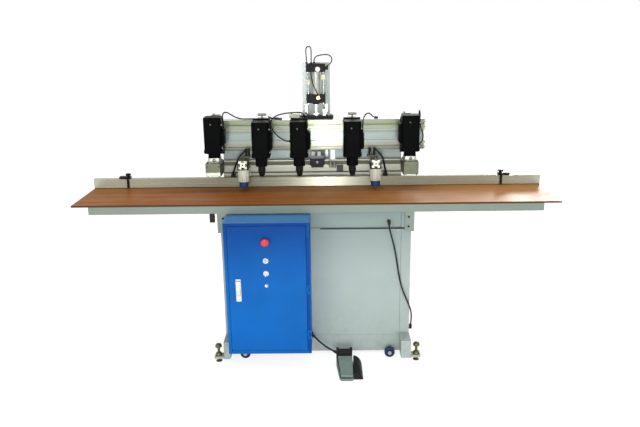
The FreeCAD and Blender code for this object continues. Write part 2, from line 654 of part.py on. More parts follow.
def fence():
    """Extruded aluminium fence on a set-back rubber strip, with slots in its top and back."""
    half = FENCE_LENGTH / 2
    low = TABLE_TOP + FENCE_SHIM
    middle = FENCE_FRONT + FENCE_DEPTH / 2
    bar = block((-half, half), (FENCE_FRONT, FENCE_FRONT + FENCE_DEPTH), (low, FENCE_TOP))
    bar = rounded(bar, 0.8, X)
    length = FENCE_LENGTH
    bar = bar.cut(t_slot(Vector(-half, middle, FENCE_TOP), X, -Z, length))
    bar = bar.cut(t_slot(Vector(-half, FENCE_FRONT + FENCE_DEPTH, low + 25), X, -Y, length, chamber=14.0, depth=4.0))
    bar = bar.cut(block((-half, half), (middle - 5, middle + 5), (low + 4, low + 16)))
    strip = block((-half + 1, half - 1), (FENCE_FRONT + 4, FENCE_FRONT + FENCE_DEPTH), (TABLE_TOP, low))
    return [bar, strip]


def stop(centre, outward):
    """Flip stop: shoe and tongue on the fence's top slot, blade in front of it, and a clamp knob."""
    middle = FENCE_FRONT + FENCE_DEPTH / 2
    seat = FENCE_TOP + SLIDE_GAP
    shoe_x = tuple(sorted((centre - outward * 15, centre + outward * 46)))
    shoe = block(shoe_x, (FENCE_FRONT - 10, FENCE_FRONT + FENCE_DEPTH), (seat, seat + 12))
    shoe = rounded(shoe, 4.0, Z)
    half_mouth = SLOT_MOUTH / 2 - SLIDE_GAP
    neck = block((centre - 10, centre + 10), (middle - half_mouth, middle + half_mouth), (seat - 3.8, seat))
    foot = block((centre - 10, centre + 10), (middle - 7.4, middle + 7.4), (seat - 6.8, seat - 3.8))
    blade = block((centre - 5.5, centre + 5.5), (FENCE_FRONT - 10, FENCE_FRONT - 10 + 7),
                  (TABLE_TOP + 4, seat + 6))
    blade = rounded(blade, 1.5, Z)
    knob = turned(centre, middle, [(0, seat + 12), (7, seat + 12), (8, seat + 15), (13, seat + 17),
                                   (14, seat + 23), (11, seat + 27), (0, seat + 28)])
    lugs = [rod((centre + 12.5 * math.cos(math.radians(60 * n)), middle + 12.5 * math.sin(math.radians(60 * n)),
                 seat + 17), 3.0, 7.0) for n in range(6)]
    return [join(shoe, neck, foot, blade), join(knob, *lugs)]


# ---- column and feed ---------------------------------------------------------------

def column():
    """Rectangular column with a base plate, gussets, a cap and the cylinder's mounting ledges."""
    x = (FEED_X - COLUMN_WIDTH / 2, FEED_X + COLUMN_WIDTH / 2)
    y = (COLUMN_FRONT, COLUMN_FRONT + COLUMN_DEPTH)
    base = block((x[0] - 40, x[1] + 40), (COLUMN_FRONT - 10, BASE_REAR - 2), (BASE_TOP, BASE_TOP + 12))
    shaft = rounded(tube_z(x, y, (BASE_TOP + 12, COLUMN_TOP - 4), COLUMN_WALL), 2.0, Z)
    cap = block((x[0] + 1, x[1] - 1), (y[0] + 1, y[1] - 1), (COLUMN_TOP - 4, COLUMN_TOP))
    shapes = [base, shaft, cap]
    for side in SIDES:
        face = FEED_X + side * COLUMN_WIDTH / 2
        gusset = Part.makePolygon([
            Vector(face, COLUMN_FRONT + 44, BASE_TOP + 12),
            Vector(face + side * 36, COLUMN_FRONT + 44, BASE_TOP + 12),
            Vector(face + side * 6, COLUMN_FRONT + 44, BASE_TOP + 110),
            Vector(face, COLUMN_FRONT + 44, BASE_TOP + 110), Vector(face, COLUMN_FRONT + 44, BASE_TOP + 12)])
        shapes.append(Part.Face(gusset).extrude(Y * 8))
        for bolt_y in (COLUMN_FRONT + 12, COLUMN_FRONT + 84):
            shapes.append(hexagon((face + side * 24, bolt_y, BASE_TOP + 12), 17.0, 8.0))
    for low, high in (LOWER_BLOCK, UPPER_BLOCK):
        middle = TABLE_TOP + (low + high) / 2
        shapes.append(block((FEED_X - 40, FEED_X + 40), (CYLINDER_Y + CYLINDER_DEPTH / 2, COLUMN_FRONT),
                            (middle - 14, middle + 14)))
    return shapes


def guide_rail_xs():
    return (FEED_X - RAIL_GAUGE / 2, FEED_X + RAIL_GAUGE / 2)


def guide_rails():
    """Two linear guide rails on the column's face, with their screw heads sunk flush."""
    shapes = []
    low = CLAMP_BEAM_TOP + 4
    high = TABLE_TOP + LOWER_BLOCK[0] - 16
    for x in guide_rail_xs():
        rail = block((x - GUIDE_WIDTH / 2, x + GUIDE_WIDTH / 2), (COLUMN_FRONT - GUIDE_HEIGHT, COLUMN_FRONT),
                     (low, high))
        for side in SIDES:
            edge = x + side * GUIDE_WIDTH / 2
            groove = rod((edge, COLUMN_FRONT - GUIDE_HEIGHT / 2 - 1, low), 2.2, high - low)
            rail = rail.cut(groove)
        shapes.append(rail)
    return shapes


def guide_blocks():
    """Mounting plate behind the beam and the four carriages that ride on the rails."""
    plate_rear = BEAM_REAR + 15
    plate = block((FEED_X - 84, FEED_X + 84), (BEAM_REAR, plate_rear), (BEAM_BOTTOM + 8, BEAM_TOP - 6))
    shapes = [rounded(plate, 5.0, Y)]
    for x in guide_rail_xs():
        for z in (BEAM_BOTTOM + 18, BEAM_TOP - 64):
            carriage = block((x - 17, x + 17), (plate_rear, COLUMN_FRONT - 3), (z, z + 46))
            channel = block((x - GUIDE_WIDTH / 2 - SLIDE_GAP, x + GUIDE_WIDTH / 2 + SLIDE_GAP),
                            (COLUMN_FRONT - GUIDE_HEIGHT - SLIDE_GAP, COLUMN_FRONT), (z - 1, z + 47))
            shapes.append(carriage.cut(channel))
    return shapes


def beam():
    """Hollow extruded beam with T-slots in its front and back, and end stops at both ends."""
    half = BEAM_LENGTH / 2
    body = block((-half, half), (BEAM_FRONT, BEAM_REAR), (BEAM_BOTTOM, BEAM_TOP))
    body = rounded(body, 1.5, X)
    for z in (BEAM_BOTTOM + 21, BEAM_TOP - 25):
        body = body.cut(t_slot(Vector(-half, BEAM_FRONT, z), X, Y, BEAM_LENGTH))
        body = body.cut(t_slot(Vector(-half, BEAM_REAR, z), X, -Y, BEAM_LENGTH))
    for z in (BEAM_MIDDLE - 28, BEAM_MIDDLE + 33):
        body = body.cut(block((-half, half), (BEAM_FRONT - 1, BEAM_FRONT + 1.5), (z - 1, z + 1)))
    hollow = block((-half, half), (BEAM_FRONT + 14, BEAM_REAR - 14), (BEAM_MIDDLE - 44, BEAM_MIDDLE + 42))
    body = body.cut(rounded(hollow, 6.0, X))
    for z in (BEAM_BOTTOM + 21, BEAM_TOP - 25):
        core = block((-half, half), (BEAM_FRONT + 20, BEAM_REAR - 20), (z - 10, z + 10))
        body = body.cut(rounded(core, 4.0, X))
    shapes = [body]
    for side in SIDES:
        x = tuple(sorted((side * half, side * (half + 6))))
        shapes.append(block(x, (BEAM_FRONT, BEAM_REAR), (BEAM_TOP - 61, BEAM_TOP)))
        shapes.append(block(x, (BEAM_FRONT, BEAM_REAR), (BEAM_BOTTOM, BEAM_BOTTOM + 48)))
        for z in (BEAM_TOP - 45, BEAM_TOP - 16, BEAM_BOTTOM + 10, BEAM_BOTTOM + 38):
            for y in (BEAM_FRONT + 7, BEAM_REAR - 7):
                shapes.append(cap_screw((side * (half + 6), y, z), 4.0, X * side))
    return shapes


def push_plate():
    """Plate on the beam that the cylinder rod pushes, with its sensor flag and bolts."""
    x = (FEED_X - 93, FEED_X + 93)
    plate = block(x, (CYLINDER_Y - 18, CYLINDER_Y + 18), (BEAM_TOP, BEAM_TOP + PUSH_PLATE))
    plate = rounded(plate, 3.0, Z)
    top = BEAM_TOP + PUSH_PLATE
    flag = block((FEED_X + 36, FEED_X + 54), (CYLINDER_Y - 16, CYLINDER_Y - 12), (top, top + 34))
    flag = flag.cut(rod((FEED_X + 45, CYLINDER_Y - 17, top + 22), 4.0, 6.0, Y))
    shapes = [plate, flag]
    for offset in (-78, -56, 66, 82):
        shapes.append(cap_screw((FEED_X + offset, CYLINDER_Y, top), 8.0, Z))
    return shapes + cable_glands()


def cable_glands():
    """Glands where the motor cables end: four on the beam's top, one on the push plate's front."""
    shapes = []
    for index in CABLE_ENDS_ON_BEAM:
        end = Vector(*MOTOR_CABLES[index][-1])
        heading = (end - Vector(*MOTOR_CABLES[index][-2])).normalize()
        heading.z = 0.0
        heading.normalize()
        nut = Part.makeCylinder(CABLE_RADIUS + 2.0, 9.0, end + heading * 2.0, heading)
        foot = block((end.x - 8, end.x + 12), (end.y - 6, end.y + 8), (BEAM_TOP, BEAM_TOP + 9))
        foot.translate(heading * 9)
        shapes.append(join(nut.cut(block((-900, 900), (300, 500), (BEAM_TOP - 20, BEAM_TOP))), foot))
    end = MOTOR_CABLES[2][-1]
    shapes.append(block((end[0] - 8, end[0] + 8), (end[1] - 3.2, CYLINDER_Y - 18), (BEAM_TOP + 1, end[2] - 2.8)))
    return shapes


def piston_rod():
    """Piston, rod and the lock nut on the push plate."""
    top = BEAM_TOP + PUSH_PLATE
    piston_low = TABLE_TOP + LOWER_BLOCK[1] + STROKE + 12
    shaft = rod((FEED_X, CYLINDER_Y, top), ROD_RADIUS, piston_low - top)
    piston = rod((FEED_X, CYLINDER_Y, piston_low), CYLINDER_BORE - SHAFT_GAP, 20.0)
    nut = hexagon((FEED_X, CYLINDER_Y, top), 34.0, 13.0)
    return [join(shaft, piston, nut)]


def feed_cylinder():
    """Tie-rod cylinder: two end blocks, barrel, four tie rods and their nuts."""
    half = CYLINDER_BLOCK / 2
    y = (CYLINDER_Y - CYLINDER_DEPTH / 2, CYLINDER_Y + CYLINDER_DEPTH / 2)
    low = (TABLE_TOP + LOWER_BLOCK[0], TABLE_TOP + LOWER_BLOCK[1])
    high = (TABLE_TOP + UPPER_BLOCK[0], TABLE_TOP + UPPER_BLOCK[1])
    shapes = []
    lower = rounded(block((FEED_X - half, FEED_X + half), y, low), 4.0, Z)
    nose = rod((FEED_X, CYLINDER_Y, low[0] - 8), 19.0, 8.0)
    lower = join(lower, nose).cut(rod((FEED_X, CYLINDER_Y, low[0] - 8), ROD_RADIUS + SHAFT_GAP, 60.0))
    upper = rounded(block((FEED_X - half, FEED_X + half), y, high), 4.0, Z)
    barrel = ring((FEED_X, CYLINDER_Y, low[1]), CYLINDER_BORE + CYLINDER_WALL, CYLINDER_BORE, high[0] - low[1])
    shapes += [lower, upper, barrel]
    for x in (FEED_X - TIE_X, FEED_X + TIE_X):
        for tie_y in (CYLINDER_Y - TIE_Y, CYLINDER_Y + TIE_Y):
            shapes.append(rod((x, tie_y, low[1]), TIE_RADIUS, high[0] - low[1]))
            shapes.append(hexagon((x, tie_y, low[0] - 6), 12.0, 6.0))
    return shapes


# ---- drill heads -------------------------------------------------------------------

def motor_flange(index):
    rise = OUTER_MOTOR_RISE if index in OUTER_HEADS else INNER_MOTOR_RISE
    return TABLE_TOP + rise


def nose_length(index):
    return OUTER_NOSE if index in OUTER_HEADS else INNER_NOSE


def carriage(index):
    """Slide plate with top and bottom hooks, and the two pads that the motor bolts to."""
    x = HEAD_XS[index]
    half = CARRIAGE_WIDTH / 2
    rear = BEAM_FRONT - SLIDE_GAP
    low = BEAM_BOTTOM - SLIDE_GAP
    high = BEAM_TOP + SLIDE_GAP
    plate = block((x - half, x + half), (CARRIAGE_FRONT, rear), (low - HOOK_HEIGHT, high + HOOK_HEIGHT))
    plate = rounded(plate, 4.0, Y)
    hook_x = (x - HOOK_WIDTH / 2, x + HOOK_WIDTH / 2)
    top_hook = block(hook_x, (rear - 1, BEAM_FRONT + 24), (high, high + HOOK_HEIGHT))
    bottom_hook = block(hook_x, (rear - 1, BEAM_FRONT + 20), (low - HOOK_HEIGHT, low))
    body = join(plate, top_hook, bottom_hook)
    seat = high + HOOK_HEIGHT
    if index in KNOB_HEADS:
        body = body.cut(rod((x + 3, BEAM_FRONT + 6, seat - 11), 5 + SHAFT_GAP, 12.0))
    shapes = [body]
    motor_rear = SPINDLE_Y + MOTOR_DEPTH / 2
    flange = motor_flange(index)
    for z in (flange + 24, flange + 126):
        pad = block((x - 30, x + 30), (motor_rear, CARRIAGE_FRONT), (z, z + 28))
        shapes.append(pad)
    if index in LOCK_BLOCKS:
        left, right = LOCK_BLOCKS[index]
        lock = block((x + left, x + right), (CARRIAGE_FRONT + 2, BEAM_FRONT + 20), (seat, seat + 21))
        shapes.append(rounded(lock, 2.0, Z))
        shapes.append(cap_screw((x + left + 12, BEAM_FRONT, seat + 21), 5.0, Z))
    return shapes


def lock_knob(index):
    """T-screw that locks the carriage to the beam."""
    x = HEAD_XS[index] + 3
    y = BEAM_FRONT + 6
    seat = BEAM_TOP + SLIDE_GAP + HOOK_HEIGHT
    screw = rod((x, y, seat - 10), 5.0, 10.0)
    neck = rod((x, y, seat), 4.5, 14.0)
    bar = rod((x - 23, y, seat + 18), 7.0, 46.0, X)
    bar = bar.makeFillet(2.5, [edge for edge in bar.Edges if edge.Curve.TypeId == "Part::GeomCircle"])
    washer = rod((x, y, seat), 8.0, 2.5)
    return [join(screw, neck, bar, washer)]


def motor_housing(x, flange, nose):
    """Rounded square shell with a shouldered foot, a nose, bearing seats and a shaft bore."""
    half = MOTOR_WIDTH / 2
    top = flange + MOTOR_HEIGHT
    depth = (SPINDLE_Y - MOTOR_DEPTH / 2, SPINDLE_Y + MOTOR_DEPTH / 2)
    body = rounded(block((x - half, x + half), depth, (flange, top)), 16.0, Z)
    body = eased_rim(body, 5.0, top)
    foot = block((x - half - 3, x + half + 3), (depth[0] - 1, depth[1]), (flange + 3, flange + 20))
    foot = rounded(foot, 14.0, Z)
    nose_half = NOSE_WIDTH / 2
    neck = block((x - nose_half, x + nose_half), (SPINDLE_Y - nose_half, SPINDLE_Y + nose_half),
                 (flange - nose, flange + 4))
    neck = rounded(neck, 12.0, Z)
    body = join(body, foot, neck)
    low_rise, low_height, low_radius = BEARING_LOW
    high_drop, high_height, high_radius = BEARING_HIGH
    cavity_low = flange + low_rise + low_height
    cavity_high = top - high_drop - high_height
    cavity_radius = MOTOR_WIDTH / 2 - MOTOR_WALL
    body = body.cut(rod((x, SPINDLE_Y, cavity_low), cavity_radius, cavity_high - cavity_low))
    body = body.cut(rod((x, SPINDLE_Y, flange + low_rise), low_radius, low_height))
    body = body.cut(rod((x, SPINDLE_Y, cavity_high), high_radius, high_height))
    return body.cut(rod((x, SPINDLE_Y, flange - nose), SHAFT_RADIUS + SHAFT_GAP, nose + low_rise))


def motor_inside(x, flange):
    """Stator and the two shaft bearings."""
    top = flange + MOTOR_HEIGHT
    low_rise, low_height, low_radius = BEARING_LOW
    high_drop, high_height, high_radius = BEARING_HIGH
    stator = ring((x, SPINDLE_Y, flange + ROTOR_RISE), MOTOR_WIDTH / 2 - MOTOR_WALL, ROTOR_RADIUS + 0.6,
                  ROTOR_LENGTH)
    low = ring((x, SPINDLE_Y, flange + low_rise), low_radius, SHAFT_RADIUS + SHAFT_GAP, low_height)
    high = ring((x, SPINDLE_Y, top - high_drop - high_height), high_radius, TAIL_RADIUS + SHAFT_GAP, high_height)
    return [stator, low, high]


def motor(index):
    """Spindle motor: housing, stator, bearings, terminal cover, cable gland and screws."""
    x = HEAD_XS[index]
    flange = motor_flange(index)
    shapes = [motor_housing(x, flange, nose_length(index))] + motor_inside(x, flange)
    side = x + MOTOR_WIDTH / 2
    wall = x - MOTOR_WIDTH / 2
    cover_at = wall if index == 4 else side
    cover_z = (flange + 40, flange + 146) if index == 4 else (flange + 38, flange + 132)
    cover = block((cover_at - COVER_REACH, cover_at + COVER_REACH), (SPINDLE_Y - 20, SPINDLE_Y + 26), cover_z)
    cover = rounded(cover, COVER_REACH - 1.0, Y)
    shapes.append(cover.cut(block((wall, side), (SPINDLE_Y - 30, SPINDLE_Y + 36), (flange, flange + MOTOR_HEIGHT))))
    for z in (flange + 150, flange + 27):
        shapes.append(cap_screw((side, SPINDLE_Y - 27, z), 4.5, X))
    front = SPINDLE_Y - MOTOR_DEPTH / 2
    shapes.append(cap_screw((x - 6, front, flange + 155), 5.0, -Y))
    start = MOTOR_CABLES[index][0]
    if index == 2:
        shapes.append(rod((start[0], start[1], start[2]), CABLE_RADIUS + 2.5, wall - start[0], X))
    elif index == 4:
        heading = (Vector(*start) - Vector(*MOTOR_CABLES[index][1])).normalize()
        gland = Part.makeCylinder(CABLE_RADIUS + 2.5, 18.0, Vector(*start), heading)
        gland = gland.cut(block((wall, side), (SPINDLE_Y - 30, SPINDLE_Y + 36), (flange, start[2] + 20)))
        shapes.append(gland.cut(block((wall, side + 3), (SPINDLE_Y - 30, SPINDLE_Y + 36), (flange, flange + 20))))
    else:
        top = flange + 132
        shapes.append(rod((start[0], start[1], top), CABLE_RADIUS + 2.5, start[2] - top))
    return shapes


def rotor_shaft(x, flange, low):
    """Shaft from a low end up through both bearings, with the rotor on it."""
    top = flange + MOTOR_HEIGHT - BEARING_HIGH[0] - 1
    step = flange + ROTOR_RISE + ROTOR_LENGTH + 6
    shaft = rod((x, SPINDLE_Y, low), SHAFT_RADIUS, step - low)
    tail = rod((x, SPINDLE_Y, step), TAIL_RADIUS, top - step)
    rotor = rod((x, SPINDLE_Y, flange + ROTOR_RISE), ROTOR_RADIUS, ROTOR_LENGTH)
    return join(shaft, tail, rotor)


def inner_spindle(index):
    """Motor shaft with its drill chuck, clamp nut and a brad-point dowel bit."""
    x = HEAD_XS[index]
    flange = motor_flange(index)
    top = flange - nose_length(index) - SLIDE_GAP
    low = top - CHUCK_HEIGHT
    chuck = turned(x, SPINDLE_Y, [
        (0, top), (CHUCK_RADIUS - 2, top), (CHUCK_RADIUS, top - 3), (CHUCK_RADIUS, top - 30),
        (CHUCK_RADIUS - 4, top - 34), (CHUCK_RADIUS - 4, top - 44), (CHUCK_RADIUS - 8, low), (0, low)])
    for flute in range(8):
        angle = math.radians(45 * flute)
        reach = CHUCK_RADIUS + 1
        place = (x + reach * math.cos(angle), SPINDLE_Y + reach * math.sin(angle), top - 27)
        chuck = chuck.cut(rod(place, 2.2, 22.0))
    tip = low - BIT_REACH
    bit = turned(x, SPINDLE_Y, [
        (0, low), (BIT_RADIUS, low), (BIT_RADIUS, tip + 4), (BIT_RADIUS - 1, tip + 4.6), (1.2, tip + 3), (0, tip)])
    for turn in range(2):
        groove_x = x + (BIT_RADIUS + 0.8) * (1 if turn else -1)
        bit = bit.cut(rod((groove_x, SPINDLE_Y, tip), 1.8, BIT_REACH))
    return [join(rotor_shaft(x, flange, top - 1), chuck), bit]


def outer_spindle(index):
    """Motor shaft that reaches down into the gear box and carries the drive gear."""
    x = HEAD_XS[index]
    flange = motor_flange(index)
    neck = flange - nose_length(index)
    shaft = rotor_shaft(x, flange, neck)
    drop = rod((x, SPINDLE_Y, GEAR_LOW + GEAR_WIDTH), TAIL_RADIUS, neck - GEAR_LOW - GEAR_WIDTH)
    journal = rod((x, SPINDLE_Y, CASE_LOW + 6), LOWER_JOURNAL, GEAR_LOW + GEAR_WIDTH - CASE_LOW - 6)
    gear = spur_gear(x, SPINDLE_Y, GEAR_LOW, LOWER_JOURNAL, 0.0)
    return [join(shaft, drop, journal), gear]


def outlet_x(index, side):
    return HEAD_XS[index] + side * OUTLET_PITCH / 2


def gear_case(index):
    """Gear box under an outer motor: case, bottom cover, neck collar and screws."""
    x = HEAD_XS[index]
    half = CASE_WIDTH / 2
    rear = CARRIAGE_FRONT - 5
    cover_top = CASE_LOW + CASE_COVER
    gear_tip = GEAR_MODULE * (GEAR_TEETH / 2 + 1) + 1
    room = block((x - OUTLET_PITCH / 2 - gear_tip, x + OUTLET_PITCH / 2 + gear_tip),
                 (SPINDLE_Y - gear_tip, SPINDLE_Y + gear_tip), (cover_top, GEAR_LOW + GEAR_WIDTH + 1.5))
    case = rounded(block((x - half, x + half), (CASE_FRONT, rear), (cover_top, CASE_TOP)), 5.0, Z)
    case = case.cut(rounded(room, 6.0, Z))
    case = case.cut(rod((x, SPINDLE_Y, cover_top), TAIL_RADIUS + SHAFT_GAP, CASE_HEIGHT))
    cover = rounded(block((x - half, x + half), (CASE_FRONT, rear), (CASE_LOW, cover_top)), 5.0, Z)
    cover = cover.cut(rod((x, SPINDLE_Y, CASE_LOW + 5), LOWER_JOURNAL + SHAFT_GAP, CASE_COVER))
    for side in SIDES:
        out = outlet_x(index, side)
        cover = cover.cut(rod((out, SPINDLE_Y, CASE_LOW), OUTLET_JOURNAL + SHAFT_GAP, CASE_COVER))
        case = case.cut(rod((out, SPINDLE_Y, cover_top), LOWER_JOURNAL + SHAFT_GAP, CASE_HEIGHT - CASE_COVER - 8))
    collar_half = COLLAR_WIDTH / 2
    collar = block((x - collar_half, x + collar_half), (SPINDLE_Y - collar_half, SPINDLE_Y + collar_half),
                   (CASE_TOP, CASE_TOP + COLLAR_HEIGHT))
    collar = rounded(collar, 14.0, Z).cut(rod((x, SPINDLE_Y, CASE_TOP), TAIL_RADIUS + 6, COLLAR_HEIGHT))
    shapes = [case, cover, collar]
    boss_y = SPINDLE_Y - collar_half
    shapes.append(ring((x + 2, boss_y, CASE_TOP + COLLAR_HEIGHT / 2), 8.0, 3.4, 3.0, -Y))
    for dx in (-half + 10, half - 10):
        for y in (CASE_FRONT + 10, rear - 10):
            shapes.append(cap_screw((x + dx, y, CASE_TOP), 5.0, Z))
            shapes.append(cap_screw((x + dx, y, CASE_LOW), 5.0, -Z))
        shapes.append(cap_screw((x + dx, CASE_FRONT, CASE_TOP - 16), 4.0, -Y))
    return shapes


def outlet_spindle(index, side):
    """Output spindle with a shank bore, its driven gear and a set screw."""
    x = outlet_x(index, side)
    low = CASE_LOW - SLIDE_GAP - OUTLET_COLLAR_HEIGHT
    gear_top = GEAR_LOW + GEAR_WIDTH
    collar = rod((x, SPINDLE_Y, low), OUTLET_COLLAR, OUTLET_COLLAR_HEIGHT)
    journal = rod((x, SPINDLE_Y, low), OUTLET_JOURNAL, GEAR_LOW - low)
    upper = rod((x, SPINDLE_Y, GEAR_LOW), LOWER_JOURNAL, CASE_TOP - 12 - GEAR_LOW)
    body = join(collar, journal, upper).cut(rod((x, SPINDLE_Y, low), OUTLET_BORE, OUTLET_BORE_DEPTH))
    half_pitch = 180.0 / GEAR_TEETH
    gear = spur_gear(x, SPINDLE_Y, GEAR_LOW, LOWER_JOURNAL, half_pitch)
    screw = rod((x, SPINDLE_Y - OUTLET_COLLAR + 3, low + 6), 2.4, 3.4, -Y)
    return [body.cut(screw), gear, screw]


# ---- clamp frame ---------------------------------------------------------------------

def clamp_arm(x):
    """Slotted square extrusion with its end plate bolt, on a steel plate from the clamp beam."""
    low, high = ARM_LOW, ARM_LOW + ARM
    half = ARM / 2
    arm = rounded(block((x - half, x + half), (ARM_FRONT, ARM_REAR), (low, high)), 2.0, Y)
    length = ARM_REAR - ARM_FRONT
    for start, into in (
            (Vector(x, ARM_FRONT, high), -Z), (Vector(x, ARM_FRONT, low), Z),
            (Vector(x - half, ARM_FRONT, low + half), X), (Vector(x + half, ARM_FRONT, low + half), -X)):
        arm = arm.cut(t_slot(start, Y, into, length, chamber=18.0, depth=5.0))
    arm = arm.cut(rod((x, ARM_FRONT, low + half), 4.0, length, Y))
    return arm


def clamp_bracket(x):
    """U-shaped plate under the arm, and the plate that carries it back to the clamp beam."""
    reach = ARM / 2 + 8
    under = block((x - reach, x + reach), (ARM_FRONT - 2, ARM_REAR - 20), (CLAMP_BODY_TOP, ARM_LOW))
    ears = [block(tuple(sorted((x + side * (ARM / 2 + SLIDE_GAP), x + side * reach))),
                  (ARM_FRONT + 8, ARM_FRONT + 48), (ARM_LOW, ARM_LOW + 17)) for side in SIDES]
    return join(under, *ears)


def clamp_tail(x):
    """Steel plate from the clamp beam's face to the underside of the arm."""
    tail = block((x - 26, x + 26), (ARM_REAR - 20, CLAMP_BEAM_FRONT), (ARM_LOW - 17, ARM_LOW))
    foot = block((x - 26, x + 26), (CLAMP_BEAM_FRONT - 10, CLAMP_BEAM_FRONT), (CLAMP_BEAM_LOW + 8, ARM_LOW - 17))
    return join(tail, foot)


def clamp_frame():
    """Slotted cross beam on the column, the two arms with their brackets, and the back plates."""
    left, right = CLAMP_BEAM_X
    y = (CLAMP_BEAM_FRONT, CLAMP_BEAM_REAR)
    z = (CLAMP_BEAM_LOW, CLAMP_BEAM_TOP)
    bar = rounded(block((left, right), y, z), 2.0, X)
    bar = bar.cut(t_slot(Vector(left, y[0], z[1] - 18), X, Y, right - left, mouth=20.0, chamber=26.0, depth=5.0))
    bar = bar.cut(t_slot(Vector(left, y[0], z[0] + 25), X, Y, right - left))
    bar = bar.cut(block((left, right), (y[0] + 14, y[1] - 6), (z[0] + 42, z[0] + 60)))
    shapes = [bar]
    stand_off = block((FEED_X - 64, FEED_X + 64), (y[1], COLUMN_FRONT), (z[0] + 4, z[1] - 14))
    shapes.append(stand_off)
    opening = (FEED_X - 99, FEED_X + 101)
    for x in ((left, opening[0]), (opening[1], right)):
        shapes.append(block(x, (y[1] - 10, y[1] - 6), (z[1], z[1] + BACK_PLATE_HEIGHT)))
        lip = block(x, (y[1] - 6, y[1]), (z[1], z[1] + 6))
        shapes.append(lip)
    for x in CLAMP_XS:
        shapes += [clamp_arm(x), clamp_bracket(x), clamp_tail(x)]
        shapes.append(cap_screw((x - 14, CLAMP_BEAM_FRONT - 10, CLAMP_BEAM_LOW + 25), 6.0, -Y))
        shapes.append(cap_screw((x + 14, CLAMP_BEAM_FRONT - 10, CLAMP_BEAM_LOW + 25), 6.0, -Y))
    return shapes


def clamp_cylinders():
    """Two ribbed clamp cylinders that hang under the arms."""
    shapes = []
    for x in CLAMP_XS:
        body = rod((x, CLAMP_Y, CLAMP_BODY_LOW), CLAMP_BODY_RADIUS, CLAMP_BODY_HEIGHT)
        for rib in range(16):
            angle = math.radians(22.5 * rib)
            reach = CLAMP_BODY_RADIUS + 1.2
            place = (x + reach * math.cos(angle), CLAMP_Y + reach * math.sin(angle), CLAMP_BODY_LOW)
            body = body.cut(rod(place, 3.6, CLAMP_BODY_HEIGHT))
        chamber = rod((x, CLAMP_Y, CLAMP_BODY_LOW + 12), CLAMP_PISTON, CLAMP_BODY_HEIGHT - 18)
        bore = rod((x, CLAMP_Y, CLAMP_BODY_LOW), CLAMP_ROD + SHAFT_GAP, 20.0)
        shapes.append(body.cut(chamber).cut(bore))
    return shapes


def clamp_pad(x):
    """Piston, rod and the round pad that presses on the work."""
    pad_top = PAD_LOW + PAD_HEIGHT
    pad = turned(x, CLAMP_Y, [
        (0, PAD_LOW), (PAD_RADIUS - 3, PAD_LOW), (PAD_RADIUS, PAD_LOW + 3), (PAD_RADIUS, pad_top - 2),
        (PAD_RADIUS - 2, pad_top - SLIDE_GAP), (0, pad_top - SLIDE_GAP)])
    piston_low = CLAMP_BODY_LOW + 12 + CLAMP_STROKE + 4
    shaft = rod((x, CLAMP_Y, pad_top - SLIDE_GAP - 1), CLAMP_ROD, piston_low - pad_top + 2)
    piston = rod((x, CLAMP_Y, piston_low), CLAMP_PISTON - SHAFT_GAP, 12.0)
    return [pad, join(shaft, piston).cut(pad)]


# ---- air equipment ----------------------------------------------------------------------


def manifold():
    """Air manifold on a ledge in front of the clamp beam, with a plate and two valve blocks on top."""
    y = (BEAM_FRONT - MANIFOLD_CLEARANCE - MANIFOLD_DEPTH, BEAM_FRONT - MANIFOLD_CLEARANCE)
    low, high = TABLE_TOP + MANIFOLD_RISE[0], TABLE_TOP + MANIFOLD_RISE[1]
    body = rounded(block(MANIFOLD_X, y, (low, high)), 1.5, Y)
    ledge = block((MANIFOLD_X[0] + 6, MANIFOLD_X[1] - 6), (y[0] + 2, CLAMP_BEAM_FRONT), (low - 12, low))
    middle = (y[0] + y[1]) / 2
    plate_top = high + MANIFOLD_PLATE
    plate = block((MANIFOLD_X[0] + 4, MANIFOLD_X[1] - 4), (y[0] + 2, y[1]), (high, plate_top))
    shapes = [body, ledge, rounded(plate, 1.5, Y),
              cap_screw(((MANIFOLD_X[0] + MANIFOLD_X[1]) / 2, y[0], (low + high) / 2), 7.0, -Y)]
    for x in (MANIFOLD_X[0] + 18, MANIFOLD_X[0] + 50):
        valve = block((x - 10, x + 10), (y[0] + 2, y[1] - 1), (plate_top, plate_top + VALVE_HEIGHT))
        button = rod((x, middle, plate_top + VALVE_HEIGHT), 5.0, 2.0)
        shapes.append(join(rounded(valve, 2.0, Z), button))
    return shapes


def regulators():
    """Pressure regulator and its brass speed valve beside the manifold."""
    low = TABLE_TOP + REGULATOR_RISE
    shapes = []
    for x, height in ((80.0, 38.0), (101.0, 30.0)):
        base = hexagon((x, CLAMP_BEAM_FRONT - 12, low - 6), 18.0, 12.0)
        stem = rod((x, CLAMP_BEAM_FRONT - 12, low + 6), 6.5, height - 20)
        cap = rod((x, CLAMP_BEAM_FRONT - 12, low + height - 14), 8.5, 7.0)
        ledge = block((x - 8, x + 8), (CLAMP_BEAM_FRONT - 14, CLAMP_BEAM_FRONT), (low - 12, low - 6))
        shapes.append(join(base, stem, cap, ledge))
    body = block((113.0, 149.0), (CLAMP_BEAM_FRONT - 22, CLAMP_BEAM_FRONT), (TABLE_TOP + 70, TABLE_TOP + 106))
    dial = rod((131.0, CLAMP_BEAM_FRONT - 22, TABLE_TOP + 88), 13.0, 6.0, -Y)
    shapes.append(join(rounded(body, 3.0, Y), dial))
    return shapes


